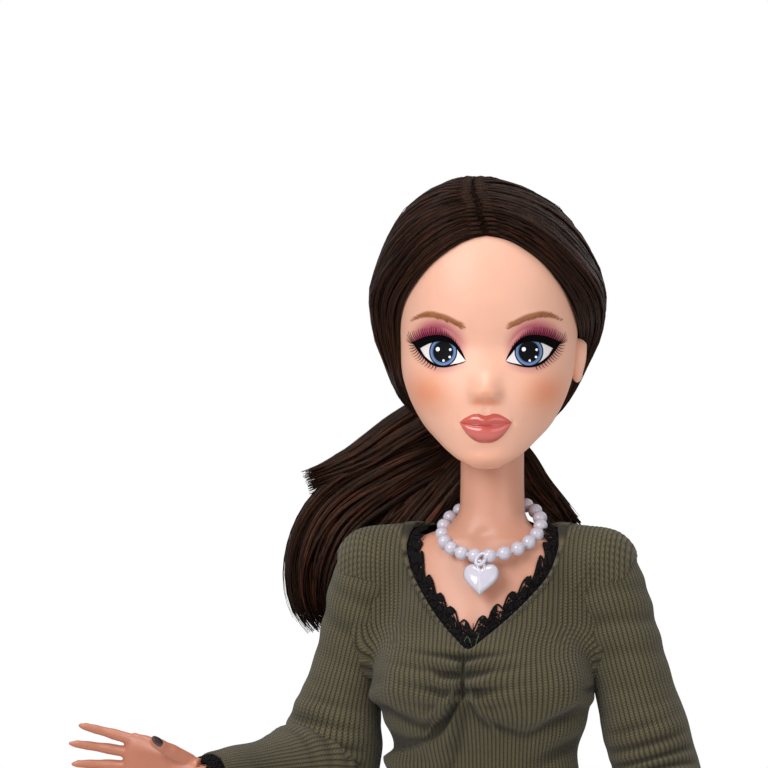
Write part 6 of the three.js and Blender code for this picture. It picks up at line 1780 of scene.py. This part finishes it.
def make_boots(look):
    for label, side in SIDES.items():
        middle = np.array([side * HIP_X, 0, 0])
        rows = spline([(a, b, c) for a, b, c in BOOT_FOOT], 44)
        angles = np.linspace(0, TURN, 57)
        wide, tall = rows[:, 1:2] * 3.9 + 0.95, rows[:, 2:3] * 17 + 0.9
        # The foot leans a little inwards towards the toe
        lean = -side * 0.5 * ease(rows[:, :1], 0.2, 0.7)
        x = wide * bow(np.cos(angles), 2.6) + lean
        z = 2.0 + tall * (0.5 + 0.5 * bow(np.sin(angles), 2.6))
        y = np.broadcast_to(-rows[:, :1] * 25, x.shape)
        body = np.stack([x, y, z], axis=-1)
        ends = [np.broadcast_to(body[i:i + 1].mean(axis=1, keepdims=True), body[:1].shape) if i == 0 else
                np.broadcast_to(body[-1:].mean(axis=1, keepdims=True), body[:1].shape) for i in (0, -1)]
        foot = grid_piece("foot", np.concatenate([ends[0], body, ends[1]]) + middle)
        up = np.linspace(6, 24, 14)
        shaft = np.stack([np.zeros(14), along([(6, 1.6), (12, 0.9), (18, 0.3), (24, 0.1)], up), up],
                         axis=-1) + middle
        girth = along([(6, 3.9), (12, 4.6), (18, 4.35), (24, 4.5)], up)
        leg = strand_piece("shaft", shaft[None], girth[None], 40)
        upper = join(f"{label}_boot_leather", [foot, leg])
        modify(upper, "REMESH", mode="VOXEL", voxel_size=0.0003)
        modify(upper, "SMOOTH", factor=0.6, iterations=10)
        local = table_of(upper.data.vertices, "co") / MM - AXIS - middle
        x, y, z = local.T
        out = unit(np.stack([x, y - np.clip(y, -12, 3), np.zeros_like(x)], axis=-1))
        crease = 0.22 * np.sin((z - 0.25 * y) * 2.1) * bell(z, 15.5, 3.4) * ease(-y + 3, 0, 5)
        cap_line = -0.22 * bell(y + 12.0 - 0.09 * x ** 2, 0, 0.18) * (z > 2.6)
        heel_line = -0.22 * bell(y - 2.6 + 0.14 * (z - 2), 0, 0.18) * (z < 11)
        back_seam = -0.2 * bell(x, 0, 0.16) * (y > 2) * (z > 11)
        welt = -0.2 * bell(z, 3.0, 0.2)
        flatten = np.where(z < 2.25, 2.1 - z, 0)
        moved = local + out * (crease + cap_line + heel_line + back_seam + welt)[:, None]
        moved[:, 2] += flatten
        moved[:, 2] = np.where(z > 23.4, 23.4 + (z - 23.4) * 0.5, moved[:, 2])
        place_vertices(upper.data, moved + middle)
        shade_smoothly(upper)
        wear(upper, FINISHES["leather"], f"{label}_shin", (f"{label}_boot_upper",))

        around = np.linspace(0, TURN, 81)
        toe, heel = -15.6, 5.4
        length = (heel - toe) / 2
        at = np.cos(around)
        place_y = (heel + toe) / 2 + length * bow(at, 2.6)
        half = along([(-16, 3.6), (-13, 4.7), (-9, 5.15), (-3, 4.5), (2, 4.1), (5.6, 3.7)], place_y)
        outline = np.stack([half * bow(np.sin(around), 2.3) - side * 0.5 * ease(-place_y, 5, 15), place_y,
                            np.zeros(81)], axis=-1)
        core = np.array([0, (heel + toe) / 2, 0])
        shape = []
        for grow, height in ((0, 0), (0.55, 0), (0.93, 0), (0.965, 0.12), (0.965, 0.8), (0.985, 0.95),
                             (1.0, 1.1), (1.0, 1.85), (0.985, 2.0), (0.6, 2.05), (0, 2.05)):
            ring = core + (outline - core) * np.array([grow, grow, 0])
            ring[:, 2] = height
            if height < 0.5:
                ring[:, 2] += 0.55 * bell(ring[:, 1], -1.5, 1.6) * (grow > 0)
            shape.append(ring)
        sole = grid_piece(f"{label}_boot_sole_tread", np.stack(shape) + middle, smooth=False)
        only(sole)
        bpy.ops.object.shade_smooth_by_angle(angle=math.radians(40))
        wear(sole, FINISHES["sole"], f"{label}_shin", (f"{label}_boot_sole",))


def finish_frame_nodes(look):
    """The hard parts under the clothes keep their shapes and take the doll's finishes."""
    for name, node in NODES.items():
        if name.endswith("_pin"):
            finish = FINISHES["steel"]
        elif name == "head_shell" or name.endswith("_hand"):
            finish = FINISHES["vinyl"]
        else:
            finish = FINISHES["body"]
        node.data.materials.clear()
        node.data.materials.append(finish)


# Add-on

def colour(name, about, red, green, blue):
    return bpy.props.FloatVectorProperty(name=name, description=about, subtype="COLOR",
                                         default=ink(red, green, blue)[:3], min=0, max=1)


class DollLook(bpy.types.PropertyGroup):
    """Sizes and colours that a user may change before building the doll."""
    skin: colour("Skin", "Colour of the vinyl skin", 236, 180, 155)
    blush: colour("Blush", "Colour brushed on the cheeks", 226, 128, 78)
    eye_shadow: colour("Eye shadow", "Colour over the eyes", 164, 44, 84)
    brow: colour("Brow", "Colour of the brows", 150, 86, 38)
    lip: colour("Lips", "Colour of the lips", 206, 98, 90)
    iris: colour("Iris", "Colour of the eyes", 78, 104, 144)
    hair: colour("Hair", "Deep colour of the hair", 8, 3, 2)
    hair_streak: colour("Hair streaks", "Warm colour of single strands", 104, 53, 34)
    knit: colour("Knit", "Colour of the sweater", 98, 90, 66)
    twill: colour("Trousers", "Colour of the trousers", 26, 26, 31)
    pearl: colour("Pearls", "Colour of the moulded necklace", 203, 198, 211)
    nail: colour("Nails", "Colour of the nail paint", 52, 20, 30)
    body_ribs: bpy.props.IntProperty(
        name="Body ribs", description="Ribs of knit round the body", default=128, min=20, max=150)
    courses: bpy.props.IntProperty(
        name="Courses", description="Courses of stitches from hem to neck", default=112, min=20, max=200)
    sleeve_ribs: bpy.props.IntProperty(
        name="Sleeve ribs", description="Ribs of knit round a sleeve", default=52, min=12, max=80)
    rib_height: bpy.props.FloatProperty(
        name="Rib height", description="How far a rib stands out",
        default=0.00014, min=0, max=0.0004, unit="LENGTH", precision=5)
    lace_width: bpy.props.FloatProperty(
        name="Lace width", description="Width of the neckline's lace",
        default=LACE_WIDE * MM, min=0.001, max=0.004, unit="LENGTH", precision=4)
    neck_scallops: bpy.props.IntProperty(
        name="Lace scallops", description="Scallops round the neckline", default=26, min=8, max=60)
    bead_size: bpy.props.FloatProperty(
        name="Bead size", description="Diameter of a bead of the necklace",
        default=0.00245, min=0.001, max=0.003, unit="LENGTH", precision=4)
    hair_lines: bpy.props.FloatProperty(
        name="Hair lines", description="Combed lines on each side of the hair", default=190, min=20, max=600)
    camera_turn: bpy.props.FloatProperty(
        name="Camera turn", description="Degrees round the doll", default=11.0)
    camera_rise: bpy.props.FloatProperty(name="Camera rise", description="Degrees above level", default=0.5)
    camera_far: bpy.props.FloatProperty(
        name="Camera distance", description="From the doll's axis", default=1.1, unit="LENGTH")
    view_width: bpy.props.FloatProperty(
        name="View width", description="Width of the view at the doll", default=0.1298, unit="LENGTH")
    view_height: bpy.props.FloatProperty(
        name="View height", description="Height at the middle of the view", default=0.2567, unit="LENGTH")
    view_shift: bpy.props.FloatProperty(
        name="View shift", description="Middle of the view to the right of the doll",
        default=-0.0174, unit="LENGTH")
    room_light: bpy.props.FloatProperty(
        name="Room light", description="Strength of the room's own light", default=0.42, min=0, max=1)
    key_light: bpy.props.FloatProperty(
        name="Key light", description="Power of the main lamp in watts", default=4.6, min=0, max=50)


def run_step(work, context):
    """Runs one function above with the panel's values, once every material is made."""
    look = context.scene.doll_look
    make_finishes(look)
    work(look)
    return {"FINISHED"}


class DOLL_OT_stage(bpy.types.Operator):
    """Add the floor, the lamps, the room's light and the camera"""
    bl_idname = "doll.stage"
    bl_label = "Stage"

    def execute(self, context):
        return run_step(make_stage, context)


class DOLL_OT_frame_nodes(bpy.types.Operator):
    """Give the frame's own parts their finishes"""
    bl_idname = "doll.frame_nodes"
    bl_label = "Hard parts"

    def execute(self, context):
        return run_step(finish_frame_nodes, context)


class DOLL_OT_head(bpy.types.Operator):
    """Model the head and its ears"""
    bl_idname = "doll.head"
    bl_label = "Head"

    def execute(self, context):
        return run_step(make_head, context)


class DOLL_OT_face_paint(bpy.types.Operator):
    """Paint the eyes, lashes, brows and lips"""
    bl_idname = "doll.face_paint"
    bl_label = "Face paint"

    def execute(self, context):
        return run_step(make_face_paint, context)


class DOLL_OT_hair(bpy.types.Operator):
    """Model the combed hair and its tie"""
    bl_idname = "doll.hair"
    bl_label = "Hair"

    def execute(self, context):
        return run_step(make_hair, context)


class DOLL_OT_ponytail(bpy.types.Operator):
    """Model the loose locks behind the tie"""
    bl_idname = "doll.ponytail"
    bl_label = "Ponytail"

    def execute(self, context):
        return run_step(make_ponytail, context)


class DOLL_OT_body(bpy.types.Operator):
    """Model the skin of the chest and neck"""
    bl_idname = "doll.body"
    bl_label = "Body"

    def execute(self, context):
        return run_step(make_body, context)


class DOLL_OT_lace(bpy.types.Operator):
    """Model the lace round the neckline"""
    bl_idname = "doll.lace"
    bl_label = "Neckline lace"

    def execute(self, context):
        return run_step(make_lace, context)


class DOLL_OT_sweater(bpy.types.Operator):
    """Model the sweater's body"""
    bl_idname = "doll.sweater"
    bl_label = "Sweater"

    def execute(self, context):
        return run_step(make_sweater, context)


class DOLL_OT_sleeves(bpy.types.Operator):
    """Model both sleeves and their lace cuffs"""
    bl_idname = "doll.sleeves"
    bl_label = "Sleeves"

    def execute(self, context):
        return run_step(make_sleeves, context)


class DOLL_OT_necklace(bpy.types.Operator):
    """Model the moulded pearls and the heart"""
    bl_idname = "doll.necklace"
    bl_label = "Necklace"

    def execute(self, context):
        return run_step(make_necklace, context)


class DOLL_OT_hands(bpy.types.Operator):
    """Model both hands and their nails"""
    bl_idname = "doll.hands"
    bl_label = "Hands"

    def execute(self, context):
        return run_step(make_hands, context)


class DOLL_OT_trousers(bpy.types.Operator):
    """Model the trousers"""
    bl_idname = "doll.trousers"
    bl_label = "Trousers"

    def execute(self, context):
        return run_step(make_trousers, context)


class DOLL_OT_boots(bpy.types.Operator):
    """Model both boots"""
    bl_idname = "doll.boots"
    bl_label = "Boots"

    def execute(self, context):
        return run_step(make_boots, context)


class DOLL_PT_panel(bpy.types.Panel):
    """The doll's steps and sizes in the sidebar"""
    bl_idname = "DOLL_PT_panel"
    bl_label = "Fashion doll"
    bl_space_type = "VIEW_3D"
    bl_region_type = "UI"
    bl_category = "Doll"

    def draw(self, context):
        look = context.scene.doll_look
        for key in DollLook.__annotations__:
            self.layout.prop(look, key)
        for step in STEPS:
            self.layout.operator(step.bl_idname)


STEPS = [DOLL_OT_stage, DOLL_OT_frame_nodes, DOLL_OT_head, DOLL_OT_face_paint, DOLL_OT_hair,
         DOLL_OT_ponytail, DOLL_OT_body, DOLL_OT_lace, DOLL_OT_sweater, DOLL_OT_sleeves,
         DOLL_OT_necklace, DOLL_OT_hands, DOLL_OT_trousers, DOLL_OT_boots]
CLASSES = [DollLook, *STEPS, DOLL_PT_panel]


def register():
    for made in CLASSES:
        bpy.utils.register_class(made)
    bpy.types.Scene.doll_look = bpy.props.PointerProperty(type=DollLook)


def unregister():
    del bpy.types.Scene.doll_look
    for made in reversed(CLASSES):
        bpy.utils.unregister_class(made)


def main():
    register()
    bpy.ops.doll.stage()
    bpy.ops.doll.frame_nodes()
    bpy.ops.doll.head()
    bpy.ops.doll.face_paint()
    bpy.ops.doll.hair()
    bpy.ops.doll.ponytail()
    bpy.ops.doll.body()
    bpy.ops.doll.lace()
    bpy.ops.doll.sweater()
    bpy.ops.doll.sleeves()
    bpy.ops.doll.necklace()
    bpy.ops.doll.hands()
    bpy.ops.doll.trousers()
    bpy.ops.doll.boots()


if __name__ == "__main__":
    main()
